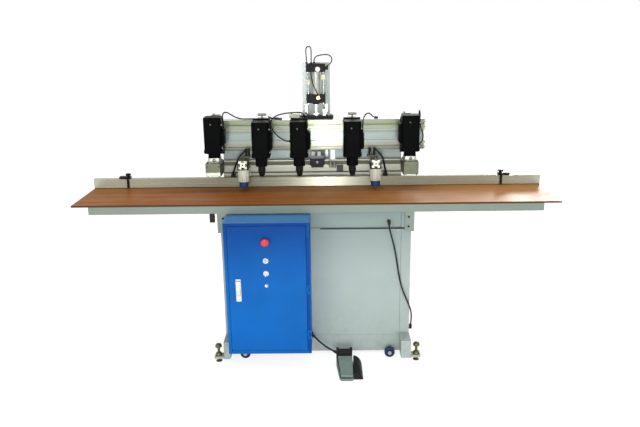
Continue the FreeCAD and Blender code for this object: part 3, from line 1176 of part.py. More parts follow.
def cylinder_fittings():
    """Elbows, sensors and the brass silencer on the feed cylinder."""
    front = CYLINDER_Y - CYLINDER_DEPTH / 2
    upper = TABLE_TOP + UPPER_BLOCK[1]
    shapes = []
    for x in (-44.0, -19.0):
        nut = hexagon((x, 430.0, upper), 11.0, 5.0)
        shapes.append(join(nut, rod((x, 430.0, upper + 5), HOSE_RADIUS + 1.5, 3.0)))
    socket = rod((-4.0, 430.0, upper + 5), HOSE_RADIUS + 1.5, 3.0)
    elbow = join(hexagon((-4.0, 430.0, upper), 11.0, 5.0), socket)
    shapes.append(elbow)
    side = FEED_X + CYLINDER_BLOCK / 2
    end = Vector(*AIR_HOSES[1][-1])
    heading = (Vector(*AIR_HOSES[1][-2]) - end).normalize()
    stem = Part.makeCylinder(HOSE_RADIUS + 1.5, 12.0, end - heading * 12.0, heading)
    socket = block((side, side + 16), (front + 2, front + 20), (upper - 34, upper - 16))
    shapes.append(join(rounded(socket, 3.0, Z), stem))
    shapes.append(rod((15.0, front, TABLE_TOP + 627), 13.0, 6.0, -Y))
    top, bottom = AIR_HOSES[2][0], AIR_HOSES[2][-1]
    elbow = block((top[0] - 6, top[0] + 6), (top[1] - 5, front - 3), (top[2], top[2] + 13))
    shapes.append(join(rounded(elbow, 2.0, Z), hexagon((top[0], front, top[2] + 7), 12.0, 4.0, -Y)))
    brass_z = TABLE_TOP + 478
    heading = (Vector(*bottom) - Vector(*AIR_HOSES[2][-2])).normalize()
    brass = join(hexagon((bottom[0], front, brass_z), 15.0, 5.0, -Y),
                 rod((bottom[0], front - 5, brass_z), 10.0, 9.0, -Y),
                 Part.makeCylinder(HOSE_RADIUS + 1.5, 12.0, Vector(*bottom), heading))
    shapes.append(brass.cut(block((-60, 60), (front, front + 40), (brass_z - 60, brass_z + 60))))
    return shapes


def reed_sensors():
    """Two reed sensors on the tie rods."""
    shapes = []
    for x, z in ((FEED_X - TIE_X, TABLE_TOP + 562), (FEED_X + TIE_X, TABLE_TOP + 585)):
        body = block((x - 11, x + 11), (CYLINDER_Y - TIE_Y - 16, CYLINDER_Y - TIE_Y - TIE_RADIUS), (z - 12, z + 12))
        shapes.append(rounded(body, 3.0, Z))
    return shapes


def clamp_ports():
    """Port blocks with two elbows on the clamp arms, and the feet that hold the hoses on the fence."""
    shapes = []
    for x, out, spacing, hose in zip(CLAMP_XS, (-1, 1), PORT_SPACING, AIR_HOSES[3:5]):
        start, end = Vector(*hose[0]), hose[-1]
        arm_top = ARM_LOW + ARM
        port = block(tuple(sorted((x + out * 8, x - out * (spacing + 18)))), (start.y - 16, start.y + 18),
                     (arm_top, arm_top + PORT_BLOCK_HEIGHT))
        port = rounded(port, 2.0, Z)
        heading = (start - Vector(*hose[1])).normalize()
        corner = start + heading * 14
        second = Y if out < 0 else heading * -1
        for corner, way in ((corner, heading * -1), (corner - X * out * spacing, second)):
            elbow = join(rod((corner.x, corner.y, arm_top + PORT_BLOCK_HEIGHT), CLAMP_HOSE_RADIUS + 1.0,
                             corner.z - arm_top - PORT_BLOCK_HEIGHT),
                         Part.makeSphere(CLAMP_HOSE_RADIUS + 1.0, corner),
                         Part.makeCylinder(CLAMP_HOSE_RADIUS + 1.0, 14.0, corner, way))
            port = join(port, elbow)
        shapes.append(port)
        heading = (Vector(*end) - Vector(*hose[-2])).normalize()
        stem = Part.makeCylinder(CLAMP_HOSE_RADIUS + 1.5, 14.0, Vector(*end), heading)
        foot = block((end[0] - 14, end[0] + 12), (FENCE_FRONT + 2, FENCE_FRONT + FENCE_DEPTH),
                     (FENCE_TOP, FENCE_TOP + 16))
        shapes.append(join(rounded(foot, 4.0, Z), stem))
    return shapes


def cable_ports():
    """Glands of the panel cable, and the black latch block at the left end of the front rail."""
    start = PANEL_CABLE[0]
    recess = BASE_FRONT + TOP_BAR_RECESS
    elbow = join(hexagon((start[0], recess, start[2] + 10), 18.0, 8.0, -Y),
                 block((start[0] - 7, start[0] + 7), (start[1] - 7, recess - 8), (start[2], start[2] + 18)))
    end = PANEL_CABLE[-1]
    heading = (Vector(*end) - Vector(*PANEL_CABLE[-2])).normalize()
    sleeve = Part.makeCylinder(PANEL_CABLE_RADIUS + 2, 12.0, Vector(*end), heading)
    boss = block((BASE_HALF, end[0] + 6), (end[1] - 2, end[1] + 18), (end[2] - 27, end[2] - 6))
    latch = rounded(block((-BASE_HALF - 50, -BASE_HALF - 24), (-4.0, 12.0), (BASE_TOP - 43, BASE_TOP)), 3.0, Z)
    return [elbow, join(rounded(boss, 2.0, X), sleeve), latch]


def air_inlet():
    """Threaded bulkhead coupling for the supply air, on the cabinet's rear skirt."""
    x, z = INLET_PLACE
    face = BASE_REAR
    body = hexagon((x, face, z), 27.0, 16.0, Y)
    return [body.cut(rod((x, face + 16, z), INLET_BORE, INLET_DEPTH, -Y))]


def air_fittings():
    return manifold() + regulators() + cylinder_fittings() + reed_sensors() + clamp_ports() \
        + cable_ports() + air_inlet()


def air_hoses():
    radii = [HOSE_RADIUS] * 3 + [CLAMP_HOSE_RADIUS] * 2
    shapes = [cord(route, radius, "air hose %d" % number)
              for number, (route, radius) in enumerate(zip(AIR_HOSES, radii), 1)]
    shapes.append(cord(PANEL_CABLE, PANEL_CABLE_RADIUS, "panel cable"))
    return shapes


def motor_cables():
    return [cord(route, CABLE_RADIUS, "motor cable %d" % number) for number, route in enumerate(MOTOR_CABLES, 1)]


# ---- control box -----------------------------------------------------------------------

def control_box():
    """Folded sheet box with a framed front opening, hinge knuckles and the pedal cord's gland."""
    outer = block(BOX_X, (BOX_FRONT, BASE_FRONT), BOX_Z)
    outer = rounded(outer, 3.0, Z)
    t = BOX_SHEET
    inside = block((BOX_X[0] + t, BOX_X[1] - t), (BOX_FRONT + t, BASE_FRONT - t), (BOX_Z[0] + t, BOX_Z[1] - t))
    opening = block(DOOR_X, (BOX_FRONT - 1, BOX_FRONT + t + 1), DOOR_Z)
    shell = outer.cut(inside).cut(opening)
    shapes = [shell]
    for z in hinge_heights():
        pin = rod((HINGE_X, HINGE_Y, z - 24), HINGE_PIN, 48.0)
        for low in (z - 24, z + 8):
            knuckle = ring((HINGE_X, HINGE_Y, low), HINGE_RADIUS, HINGE_PIN, 16.0)
            leaf = block((HINGE_X, HINGE_X + 12), (HINGE_Y + HINGE_RADIUS - 1.5, BOX_FRONT), (low, low + 16))
            leaf = leaf.cut(rod((HINGE_X, HINGE_Y, low), HINGE_PIN, 16.0))
            shapes.append(join(knuckle, leaf))
        shapes.append(pin)
    shapes.append(cord_relief(PEDAL_CORD[0], PEDAL_CORD[1], BOX_X[1]))
    for x in (BOX_X[0] + 40, BOX_X[1] - 40):
        shapes.append(ring((x, BOX_FRONT + 80, BOX_Z[0] - 9), 9.0, 5.0, 9.0))
    return shapes


def cord_relief(point, following, wall_x):
    """Gland and boot at a cord's end, square on the wall and then in line with the cord."""
    end = Vector(*point)
    heading = (end - Vector(*following)).normalize()
    boot = Part.makeCone(PEDAL_CORD_RADIUS + 1.5, PEDAL_CORD_RADIUS + 4.0, 22.0, end, heading)
    root = end + heading * 20.0
    collar = rod((wall_x, root.y, root.z), 10.0, 7.0, X)
    boot = boot.cut(block((wall_x - 60, wall_x), (root.y - 30, root.y + 30), (root.z - 40, root.z + 40)))
    return join(collar, boot)


def hinge_heights():
    return (DOOR_Z[0] + 90, (DOOR_Z[0] + DOOR_Z[1]) / 2, DOOR_Z[1] - 90)


def box_door():
    """Flush door with folded returns, hinge knuckles, bezels, contact blocks and the handle's base."""
    gap = PANEL_SEAM / 2 + 0.5
    x = (DOOR_X[0] + gap, DOOR_X[1] - gap)
    z = (DOOR_Z[0] + gap, DOOR_Z[1] - gap)
    tray = rounded(block(x, (BOX_FRONT, BOX_FRONT + DOOR_RETURN), z), 2.0, Y)
    t = BOX_SHEET
    hollow = block((x[0] + t, x[1] - t), (BOX_FRONT + t, BOX_FRONT + DOOR_RETURN + 1), (z[0] + t, z[1] - t))
    tray = tray.cut(hollow)
    for height, radius in ((ESTOP_Z, 9.0), (START_Z, 8.0), (KEY_Z, 8.0), (TOGGLE_Z, 5.0)):
        tray = tray.cut(rod((BUTTON_X, BOX_FRONT - 1, height), radius, t + 2, Y))
    shapes = [tray]
    for height in hinge_heights():
        low = height - 8 + SLIDE_GAP
        length = 16 - 2 * SLIDE_GAP
        knuckle = rod((HINGE_X, HINGE_Y, low), HINGE_RADIUS, length)
        leaf = block((x[1] - 10, HINGE_X), (HINGE_Y + HINGE_RADIUS - 1.5, BOX_FRONT), (low, low + length))
        bore = rod((HINGE_X, HINGE_Y, low), HINGE_PIN + SHAFT_GAP, length)
        shapes.append(join(knuckle, leaf).cut(bore))
    for height, outer, inner, length in (
            (ESTOP_Z, 15.0, 9.0, 6.0), (START_Z, 14.0, 8.0, 5.0), (KEY_Z, 14.0, 8.0, 5.0), (TOGGLE_Z, 9.0, 5.0, 4.0)):
        shapes.append(ring((BUTTON_X, BOX_FRONT, height), outer, inner, length, -Y))
        shapes.append(ring((BUTTON_X, BOX_FRONT + t, height), outer, inner, 22.0, Y))
    half = 13.0
    plate = block((HANDLE_X - half, HANDLE_X + half), (BOX_FRONT - 4, BOX_FRONT), HANDLE_Z)
    plate = rounded(plate, 5.0, Y)
    recess = block((HANDLE_X - 9, HANDLE_X + 9), (BOX_FRONT - 5, BOX_FRONT - 1), (HANDLE_Z[0] + 30, HANDLE_Z[1] - 8))
    plate = plate.cut(recess)
    lock = rod((HANDLE_X, BOX_FRONT - 4, HANDLE_Z[0] + 16), 8.0, 2.0, -Y)
    pivot = handle_pivot()
    ears = [block(pair, (pivot[1] - 3.5, BOX_FRONT - 4), (pivot[2] - 5, pivot[2] + 5))
            for pair in ((HANDLE_X - half, HANDLE_X - 9), (HANDLE_X + 9, HANDLE_X + half))]
    pin = rod((HANDLE_X - half, pivot[1], pivot[2]), HANDLE_PIN, 2 * half, X)
    shapes += [join(plate, lock, *ears, pin)]
    return shapes


def handle_pivot():
    return (HANDLE_X, BOX_FRONT - 6.5, HANDLE_Z[1] - HANDLE_PIVOT_DROP)


def door_handle():
    """Flush lever that swings out of its base about a pin at its top."""
    x, y, z = handle_pivot()
    low = HANDLE_Z[0] + 32
    reach = 9 - SLIDE_GAP
    lever = rounded(block((x - reach, x + reach), (y - 4.0, y + 4.0), (low, z + 3.8)), 3.6, X)
    return [lever.cut(rod((x - reach, y, z), HANDLE_PIN + SHAFT_GAP, 2 * reach, X))]


def estop_button():
    """Mushroom head on its stem."""
    front = BOX_FRONT - 6
    stem = rod((BUTTON_X, BOX_FRONT + 18, ESTOP_Z), 9.0 - SHAFT_GAP, 32.0, -Y)
    skirt = rod((BUTTON_X, front - 6, ESTOP_Z), 13.0, 5.0, -Y)
    head = rod((BUTTON_X, front - 9, ESTOP_Z), 20.0, 14.0, -Y)
    rim = [edge for edge in head.Edges if abs(edge.BoundBox.YMin - (front - 23)) < 0.01]
    return [join(stem, skirt, head.makeFillet(6.0, rim))]


def start_button():
    """Push button with a slightly crowned cap."""
    cap = rod((BUTTON_X, BOX_FRONT + 18, START_Z), 8.0 - SHAFT_GAP, 26.0, -Y)
    rim = [edge for edge in cap.Edges if abs(edge.BoundBox.YMax - (BOX_FRONT - 8)) < 0.01]
    return [cap.makeFillet(2.0, rim)]


def key_switch():
    """Key barrel with its key standing out of it."""
    barrel = rod((BUTTON_X, BOX_FRONT + 18, KEY_Z), 8.0 - SHAFT_GAP, 25.0, -Y)
    blade = block((BUTTON_X - 1.5, BUTTON_X + 1.5), (BOX_FRONT - 19, BOX_FRONT - 7), (KEY_Z - 6, KEY_Z + 6))
    bow = rod((BUTTON_X - 1.5, BOX_FRONT - 26, KEY_Z), 10.0, 3.0, X)
    return [join(barrel, blade, bow)]


def toggle_switch():
    """Ball and lever of the toggle."""
    ball = Part.makeSphere(4.6, Vector(BUTTON_X, BOX_FRONT - 1.0, TOGGLE_Z))
    root = Vector(BUTTON_X, BOX_FRONT - 2.0, TOGGLE_Z)
    lever = Part.makeCone(2.0, 3.4, 20.0, root, Vector(0, -1, 0.22).normalize())
    return [join(ball, lever)]


def control_gear():
    """Mounting plate, rails, contactors, breakers, relay unit, transformer and terminals."""
    x = (BOX_X[0] + 30, BOX_X[1] - 30)
    plate_y = (BASE_FRONT - 8, BASE_FRONT - 6)
    shapes = [block(x, plate_y, (BOX_Z[0] + 35, BOX_Z[1] - 35))]
    for sx in (x[0] + 10, x[1] - 10):
        for sz in (BOX_Z[0] + 45, BOX_Z[1] - 45):
            shapes.append(rod((sx, plate_y[1], sz), 5.0, BASE_FRONT - BOX_SHEET - plate_y[1], Y))
    front = plate_y[0]
    for z in (BOX_Z[1] - 140, BOX_Z[1] - 290, BOX_Z[0] + 110):
        shapes.append(block((x[0] + 15, x[1] - 15), (front - 7, front), (z - 17, z + 17)))
    seat = front - 7
    for number in range(5):
        left = x[0] + 20 + number * 52
        z = BOX_Z[1] - 290
        body = rounded(block((left, left + 45), (seat - 62, seat), (z - 38, z + 38)), 3.0, Y)
        face = block((left + 10, left + 35), (seat - 72, seat - 62), (z - 14, z + 14))
        shapes.append(join(body, face))
        z = BOX_Z[1] - 140
        breaker = block((left, left + 36), (seat - 48, seat), (z - 42, z + 42))
        lever = block((left + 13, left + 23), (seat - 58, seat - 48), (z - 2, z + 12))
        shapes.append(join(breaker, lever))
    for number in range(18):
        left = x[0] + 24 + number * 14
        z = BOX_Z[0] + 110
        shapes.append(block((left, left + 13), (seat - 34, seat), (z - 22, z + 22)))
    transformer = block((x[0] + 40, x[0] + 130), (front - 78, front), (BOX_Z[0] + 190, BOX_Z[0] + 270))
    relay = block((x[0] + 170, x[0] + 300), (front - 55, front), (BOX_Z[0] + 190, BOX_Z[0] + 280))
    shapes += [rounded(transformer, 4.0, Y), rounded(relay, 3.0, Y)]
    return shapes


# ---- foot pedal ----------------------------------------------------------------------------

def plan_prism(corners, z):
    """Outline of (x, y) corners, drawn up from one height to another."""
    points = [Vector(x, y, z[0]) for x, y in corners]
    return Part.Face(Part.makePolygon(points + [points[0]])).extrude(Z * (z[1] - z[0]))


def pedal_left(y):
    """The pedal's left edge leans in towards its front."""
    return PEDAL_LEFT + (HOOD_FRONT - y) * PEDAL_LEAN


def quarter_dome(y, height):
    """Quarter-ellipse section of the side dome at one y."""
    corner = Vector(0, 0, 0)
    tip = Vector(1, 0, 0)
    crown = Vector(0, 0, 1)
    half = math.sqrt(0.5)
    quarter = Part.Wire([
        Part.LineSegment(corner, tip).toShape(),
        Part.Arc(tip, Vector(half, 0, half), crown).toShape(),
        Part.LineSegment(crown, corner).toShape()])
    stretch = FreeCAD.Matrix()
    stretch.scale(Vector(DOME_REACH, 1, height))
    placed = quarter.transformGeometry(stretch)
    placed.translate(Vector(PEDAL_RIGHT, y, 0))
    return placed


def side_dome():
    """Switch housing along the treadle's right side, falling towards the front, with its plug."""
    body = Part.makeLoft([quarter_dome(*DOME_REAR), quarter_dome(*DOME_FRONT)], True)
    plug_y = DOME_FRONT[0] + 40
    plug = rod((PEDAL_RIGHT + 20, plug_y, 17), 7.0, DOME_REACH - 20 - 3.5, X)
    return join(body, plug)


def pedal_hood():
    """Hood over the treadle's rear end, with an ear at each side."""
    ears = []
    outline = [(HOOD_FRONT, PEDAL_PLATE), (HOOD_FRONT, HOOD_HEIGHT - 10), (HOOD_FRONT + 10, HOOD_HEIGHT),
               (PEDAL_REAR - 8, HOOD_HEIGHT), (PEDAL_REAR, HOOD_HEIGHT - 14), (PEDAL_REAR, PEDAL_PLATE)]
    body = prism_x(outline, (PEDAL_LEFT, PEDAL_RIGHT - 4))
    for x in ((PEDAL_LEFT, PEDAL_LEFT + 14), (PEDAL_RIGHT - 18, PEDAL_RIGHT - 4)):
        ears.append(block(x, (HOOD_FRONT + 6, PEDAL_REAR - 8), (HOOD_HEIGHT - 6, HOOD_HEIGHT + 8)))
    return join(body, *[rounded(ear, 4.0, Y) for ear in ears])


def pedal_base():
    """Base plate, left wall, hinge pin, rear hood, side dome and the cord's boot."""
    pivot_y, pivot_z = TREADLE_PIVOT
    front_left = pedal_left(PEDAL_FRONT + 14)
    plate = plan_prism([
        (PEDAL_LEFT, PEDAL_REAR), (PEDAL_RIGHT, PEDAL_REAR), (PEDAL_RIGHT, PEDAL_FRONT + 14),
        (PEDAL_RIGHT - 9, PEDAL_FRONT), (front_left + 9, PEDAL_FRONT), (front_left, PEDAL_FRONT + 14),
        (PEDAL_LEFT, HOOD_FRONT)], (0, PEDAL_PLATE))
    wall = plan_prism([
        (PEDAL_LEFT, HOOD_FRONT), (PEDAL_LEFT + PEDAL_WALL, HOOD_FRONT),
        (front_left + PEDAL_WALL, PEDAL_FRONT + 14), (front_left, PEDAL_FRONT + 14)], (PEDAL_PLATE, 56))
    trim = prism_x([(HOOD_FRONT + 1, 56), (PEDAL_FRONT, 27), (PEDAL_FRONT, 70), (HOOD_FRONT + 1, 70)],
                   (PEDAL_LEFT - 5, PEDAL_RIGHT))
    pin = rod((pedal_left(pivot_y) + 1, pivot_y, pivot_z), PEDAL_PIN, PEDAL_RIGHT - pedal_left(pivot_y) - 1, X)
    hood = pedal_hood()
    relief_end = Vector(*PEDAL_CORD[-1])
    heading = (relief_end - Vector(*PEDAL_CORD[-2])).normalize()
    boot = Part.makeCone(PEDAL_CORD_RADIUS + 1.5, PEDAL_CORD_RADIUS + 3.5, 22.0, relief_end, heading).cut(hood)
    return [plate, join(wall.cut(trim), pin), hood, side_dome(), boot.Solids[0]]


def pedal_treadle():
    """Pressed treadle: a sloping plate with folded sides and a rolled lip, hinged near its front end."""
    pivot_y, pivot_z = TREADLE_PIVOT
    rear_y, rear_z = TREADLE_REAR
    front_y, front_z = TREADLE_FRONT
    skin = 4.0
    plan = plan_prism([
        (TREADLE_X_REAR[0], rear_y), (TREADLE_X_REAR[1], rear_y), (TREADLE_X_FRONT[1], front_y),
        (TREADLE_X_FRONT[0], front_y)], (0, HOOD_HEIGHT))
    wide = (PEDAL_LEFT, PEDAL_RIGHT)
    outer = prism_x([(front_y, front_z), (rear_y, rear_z), (rear_y, rear_z - 16), (pivot_y, pivot_z - 6),
                     (front_y, front_z - 10)], wide)
    body = outer.common(plan)
    room = prism_x([(front_y + skin, front_z - skin), (rear_y - skin, rear_z - skin), (rear_y - skin, 0),
                    (front_y + skin, 0)], (TREADLE_X_FRONT[0] + skin, TREADLE_X_FRONT[1] - skin))
    bosses = rod((TREADLE_X_FRONT[0] + 1, pivot_y, pivot_z), PEDAL_PIN + 3,
                 TREADLE_X_FRONT[1] - TREADLE_X_FRONT[0] - 2, X)
    body = join(body.cut(room), bosses.cut(room.common(block((130, 158), (-300, -200), (0, 60)))))
    slope = (rear_z - front_z) / (rear_y - front_y)
    for number in range(7):
        y = front_y + 26 + number * 15
        z = front_z + (y - front_y) * slope
        groove = block((TREADLE_X_FRONT[0] + 8, TREADLE_X_FRONT[1] - 8), (y, y + 5), (z, z + 6))
        body = body.cut(groove)
    return [body.cut(rod((PEDAL_LEFT, pivot_y, pivot_z), PEDAL_PIN + SHAFT_GAP, PEDAL_RIGHT - PEDAL_LEFT, X))]


def pedal_cord():
    return [cord(PEDAL_CORD, PEDAL_CORD_RADIUS, "pedal cord")]


# ---- nodes -----------------------------------------------------------------------------------

def head_nodes():
    nodes = {}
    for index in range(len(HEAD_XS)):
        number = index + 1
        nodes["head_%d_carriage" % number] = carriage(index)
        nodes["head_%d_motor" % number] = motor(index)
        if index in OUTER_HEADS:
            nodes["head_%d_drive_shaft" % number] = outer_spindle(index)
            nodes["head_%d_gear_case" % number] = gear_case(index)
            nodes["head_%d_outlet_left" % number] = outlet_spindle(index, -1)
            nodes["head_%d_outlet_right" % number] = outlet_spindle(index, 1)
        else:
            nodes["head_%d_spindle" % number] = inner_spindle(index)
        if index in KNOB_HEADS:
            nodes["head_%d_lock_knob" % number] = lock_knob(index)
    return nodes


def all_nodes():
    nodes = {
        "base_frame": base_frame(),
        "base_panels": base_panels(),
        "levelling_feet": levelling_feet(),
        "table_frame": table_frame(),
        "table_board": table_board(),
        "fence": fence(),
        "stop_left": stop(STOP_XS[0], -1),
        "stop_right": stop(STOP_XS[1], 1),
        "column": column(),
        "guide_rails": guide_rails(),
        "guide_blocks": guide_blocks(),
        "feed_beam": beam(),
        "push_plate": push_plate(),
        "piston_rod": piston_rod(),
        "feed_cylinder": feed_cylinder(),
        "motor_cables": motor_cables(),
        "clamp_frame": clamp_frame(),
        "clamp_cylinders": clamp_cylinders(),
        "clamp_pad_left": clamp_pad(CLAMP_XS[0]),
        "clamp_pad_right": clamp_pad(CLAMP_XS[1]),
        "air_fittings": air_fittings(),
        "air_hoses": air_hoses(),
        "control_box": control_box(),
        "control_gear": control_gear(),
        "box_door": box_door(),
        "door_handle": door_handle(),
        "estop_button": estop_button(),
        "start_button": start_button(),
        "key_switch": key_switch(),
        "toggle_switch": toggle_switch(),
        "pedal_base": pedal_base(),
        "pedal_treadle": pedal_treadle(),
        "pedal_cord": pedal_cord(),
    }
    for number, place in enumerate(wheel_places(), 1):
        nodes["wheel_%d" % number] = wheel(*place)
    nodes.update(head_nodes())
    return nodes


def write_node(name, shapes):
    """Move a node from the table's front edge to the machine's centre, and write its solids."""
    solids = []
    for shape in shapes:
        moved = shape.copy()
        moved.translate(Vector(0, -CENTRE_Y, 0))
        solids += moved.Solids
    Part.makeCompound(solids).exportStep("parts/%s.step" % name)


def main():
    os.makedirs("parts", exist_ok=True)
    for name, shapes in all_nodes().items():
        write_node(name, shapes)


main()
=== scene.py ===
"""Dowel joiner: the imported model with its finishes, cords, floor, lights and camera."""
import json
import math
import bmesh
import bpy
from mathutils import Matrix, Vector

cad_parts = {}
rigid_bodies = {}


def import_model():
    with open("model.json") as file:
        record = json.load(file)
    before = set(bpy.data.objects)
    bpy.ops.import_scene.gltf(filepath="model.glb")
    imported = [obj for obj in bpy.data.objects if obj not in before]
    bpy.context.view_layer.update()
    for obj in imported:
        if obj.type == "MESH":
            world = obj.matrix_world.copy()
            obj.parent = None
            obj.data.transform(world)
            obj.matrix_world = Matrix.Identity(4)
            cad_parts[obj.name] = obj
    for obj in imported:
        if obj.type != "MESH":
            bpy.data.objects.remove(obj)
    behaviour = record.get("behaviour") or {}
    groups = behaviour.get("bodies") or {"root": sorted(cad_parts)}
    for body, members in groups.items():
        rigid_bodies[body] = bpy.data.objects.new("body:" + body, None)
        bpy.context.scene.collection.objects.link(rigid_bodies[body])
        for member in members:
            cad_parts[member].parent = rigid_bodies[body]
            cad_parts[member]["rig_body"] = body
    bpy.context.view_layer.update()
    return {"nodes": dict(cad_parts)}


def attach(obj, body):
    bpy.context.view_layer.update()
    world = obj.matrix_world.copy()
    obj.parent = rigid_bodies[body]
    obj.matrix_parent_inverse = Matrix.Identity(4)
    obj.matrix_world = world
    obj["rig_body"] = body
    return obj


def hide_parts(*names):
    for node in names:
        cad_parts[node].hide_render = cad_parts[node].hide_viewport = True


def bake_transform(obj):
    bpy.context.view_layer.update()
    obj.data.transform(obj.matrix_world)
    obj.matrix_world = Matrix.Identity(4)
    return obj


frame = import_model()

TABLE_AXIS = 0.2035          # from the table's front edge back to the row frame's y = 0
MM = 0.001
LEFT_RIGHT, UP = 0, 2        # axes


def place(x, y, z):
    """A point measured from the table's front edge and the floor, in the row frame."""
    return Vector((x, y - TABLE_AXIS, z))


def add_object(name, data):
    """A new object in the scene."""
    added = bpy.data.objects.new(name, data)
    bpy.context.scene.collection.objects.link(added)
    return added


# ---- camera -----------------------------------------------------------------
FOCAL_LENGTH = 38.53
SENSOR_WIDTH = 36.0
CLIP_RANGE = (0.05, 200.0)
VIEWPOINT = (0.055, -3.4895, 1.690)
VIEW_TURNS = ((0.576, "Z"), (74.407, "X"), (-0.737, "Z"))    # turn, tilt and roll in degrees


def add_camera():
    """The photograph's viewpoint."""
    data = bpy.data.cameras.new("viewpoint")
    data.lens = FOCAL_LENGTH
    data.sensor_width = SENSOR_WIDTH
    data.clip_start, data.clip_end = CLIP_RANGE
    stand = Matrix.Translation(VIEWPOINT)
    for degrees, axis in VIEW_TURNS:
        stand = stand @ Matrix.Rotation(math.radians(degrees), 4, axis)
    camera = add_object("viewpoint", data)
    camera.matrix_world = stand
    bpy.context.scene.camera = camera


# ---- shader building --------------------------------------------------------
COAT_ROUGHNESS = 0.1
NOISE_SPREAD = (0.3, 0.7)    # nearly all of a noise's values lie between these
QUARTER_TURN = 0.25


def linear(red, green, blue):
    """A colour given in 0 to 255 display values, as linear light."""
    channels = []
    for value in (red, green, blue):
        share = value / 255.0
        channels.append(share / 12.92 if share <= 0.04045 else ((share + 0.055) / 1.055) ** 2.4)
    return (*channels, 1.0)


def scaled(colour, factor):
    """The colour made lighter or darker."""
    return (*[min(1.0, channel * factor) for channel in colour[:3]], 1.0)


class Nodes:
    """A node tree, filled one node at a time."""

    def __init__(self, tree):
        self.tree = tree

    def add(self, kind, inputs=None, **settings):
        """A node with its settings made and its inputs fed."""
        node = self.tree.nodes.new(kind)
        for key, value in settings.items():
            setattr(node, key, value)
        for key, value in (inputs or {}).items():
            self.feed(node.inputs[key], value)
        return node

    def feed(self, socket, value):
        """Links a socket to another, or sets its fixed value."""
        if isinstance(value, bpy.types.NodeSocket):
            self.tree.links.new(value, socket)
        else:
            socket.default_value = value

    def combined(self, operation, first, second):
        return self.add("ShaderNodeMath", {0: first, 1: second}, operation=operation).outputs[0]

    def mixed_shader(self, factor, first, second):
        inputs = {0: factor, 1: first.outputs[0], 2: second.outputs[0]}
        return self.add("ShaderNodeMixShader", inputs)


class Shader(Nodes):
    """One material, with the positions that its patterns follow."""

    def __init__(self, name, roughness=0.5, metallic=0.0, specular=0.5, coat=0.0):
        self.material = bpy.data.materials.new(name)
        self.material.use_nodes = True
        super().__init__(self.material.node_tree)
        self.surface = self.tree.nodes["Principled BSDF"]
        for key, value in (("Roughness", roughness), ("Metallic", metallic),
                           ("Specular IOR Level", specular), ("Coat Weight", coat),
                           ("Coat Roughness", COAT_ROUGHNESS)):
            self.surface.inputs[key].default_value = value
        self.position = self.add("ShaderNodeTexCoord").outputs["Object"]

    def stretched(self, x, y, z, offset=(0.0, 0.0, 0.0)):
        inputs = {"Vector": self.position, "Scale": (x, y, z), "Location": offset}
        return self.add("ShaderNodeMapping", inputs).outputs["Vector"]

    def noise(self, scale, detail, rough, vector=None, distortion=0.0):
        inputs = {"Vector": vector or self.position, "Scale": scale, "Detail": detail,
                  "Roughness": rough, "Distortion": distortion}
        return self.add("ShaderNodeTexNoise", inputs).outputs["Fac"]

    def cells(self, scale):
        inputs = {"Vector": self.position, "Scale": scale}
        return self.add("ShaderNodeTexVoronoi", inputs, feature="F1").outputs["Distance"]

    def remap(self, value, low, high, out_low=0.0, out_high=1.0):
        inputs = {"Value": value, "From Min": low, "From Max": high,
                  "To Min": out_low, "To Max": out_high}
        return self.add("ShaderNodeMapRange", inputs).outputs["Result"]

    def spread(self, noise, out_low=0.0, out_high=1.0):
        """A noise's values spread out over a range."""
        return self.remap(noise, *NOISE_SPREAD, out_low, out_high)

    def ramp(self, value, stops):
        """The colours of the stops, each given with its place from 0 to 1."""
        node = self.add("ShaderNodeValToRGB", {"Fac": value})
        elements = node.color_ramp.elements
        while len(elements) < len(stops):
            elements.new(0.5)
        for element, (at, colour) in zip(elements, stops):
            element.position = at
            element.color = colour
        return node.outputs["Color"]

    def mixed(self, factor, first, second):
        inputs = {0: factor, 6: first, 7: second}
        return self.add("ShaderNodeMix", inputs, data_type="RGBA", blend_type="MIX").outputs[2]

    def toned(self, noise, colour, darker, lighter):
        """The colour made darker and lighter along a noise."""
        return self.mixed(self.spread(noise), scaled(colour, darker), scaled(colour, lighter))

    def across(self, axis, start, end, amount=1.0):
        """A value that goes from 0 at the start to the amount at the end, in metres."""
        values = self.add("ShaderNodeSeparateXYZ", {0: self.position}).outputs
        return self.remap(values[axis], start, end, 0.0, amount)

    def bump(self, height, strength, distance, after=None):
        inputs = {"Height": height, "Strength": strength, "Distance": distance}
        if after is not None:
            inputs["Normal"] = after
        return self.add("ShaderNodeBump", inputs).outputs["Normal"]

    def drawn(self, amount):
        """Glints stretched across lines that run around the upright axis."""
        tangent = self.add("ShaderNodeTangent", direction_type="RADIAL", axis="Z")
        self.feed(self.surface.inputs["Tangent"], tangent.outputs[0])
        self.surface.inputs["Anisotropic"].default_value = amount
        self.surface.inputs["Anisotropic Rotation"].default_value = QUARTER_TURN

    def finish(self, colour, roughness=None, normal=None):
        """The material, with what its surface shows."""
        self.feed(self.surface.inputs["Base Color"], colour)
        if roughness is not None:
            self.feed(self.surface.inputs["Roughness"], roughness)
        if normal is not None:
            self.feed(self.surface.inputs["Normal"], normal)
        return self.material


# ---- finishes ---------------------------------------------------------------
DUST = linear(118, 108, 92)
DUST_TOP = 0.32              # dust thins out up to this height
TOP_SHADE_FADE = (0.45, 0.76)    # heights between which a paint passes to its painted shade near the top
LEFT_HIGHLIGHT_FADE = (-0.02, -0.06)   # places between which it passes to its painted highlight on the left
BEAM_HEIGHTS = (1.022, 1.186)
RIGHT_HIGHLIGHT_SPAN = (-0.35, 1.0)    # places between which the board grows lighter: a painted highlight to the right, a slight lightening to the left
LEFT_LIGHTENING_SPAN = (-0.75, -1.25)
BOARD_LIGHTER_TONE = linear(184, 132, 72)


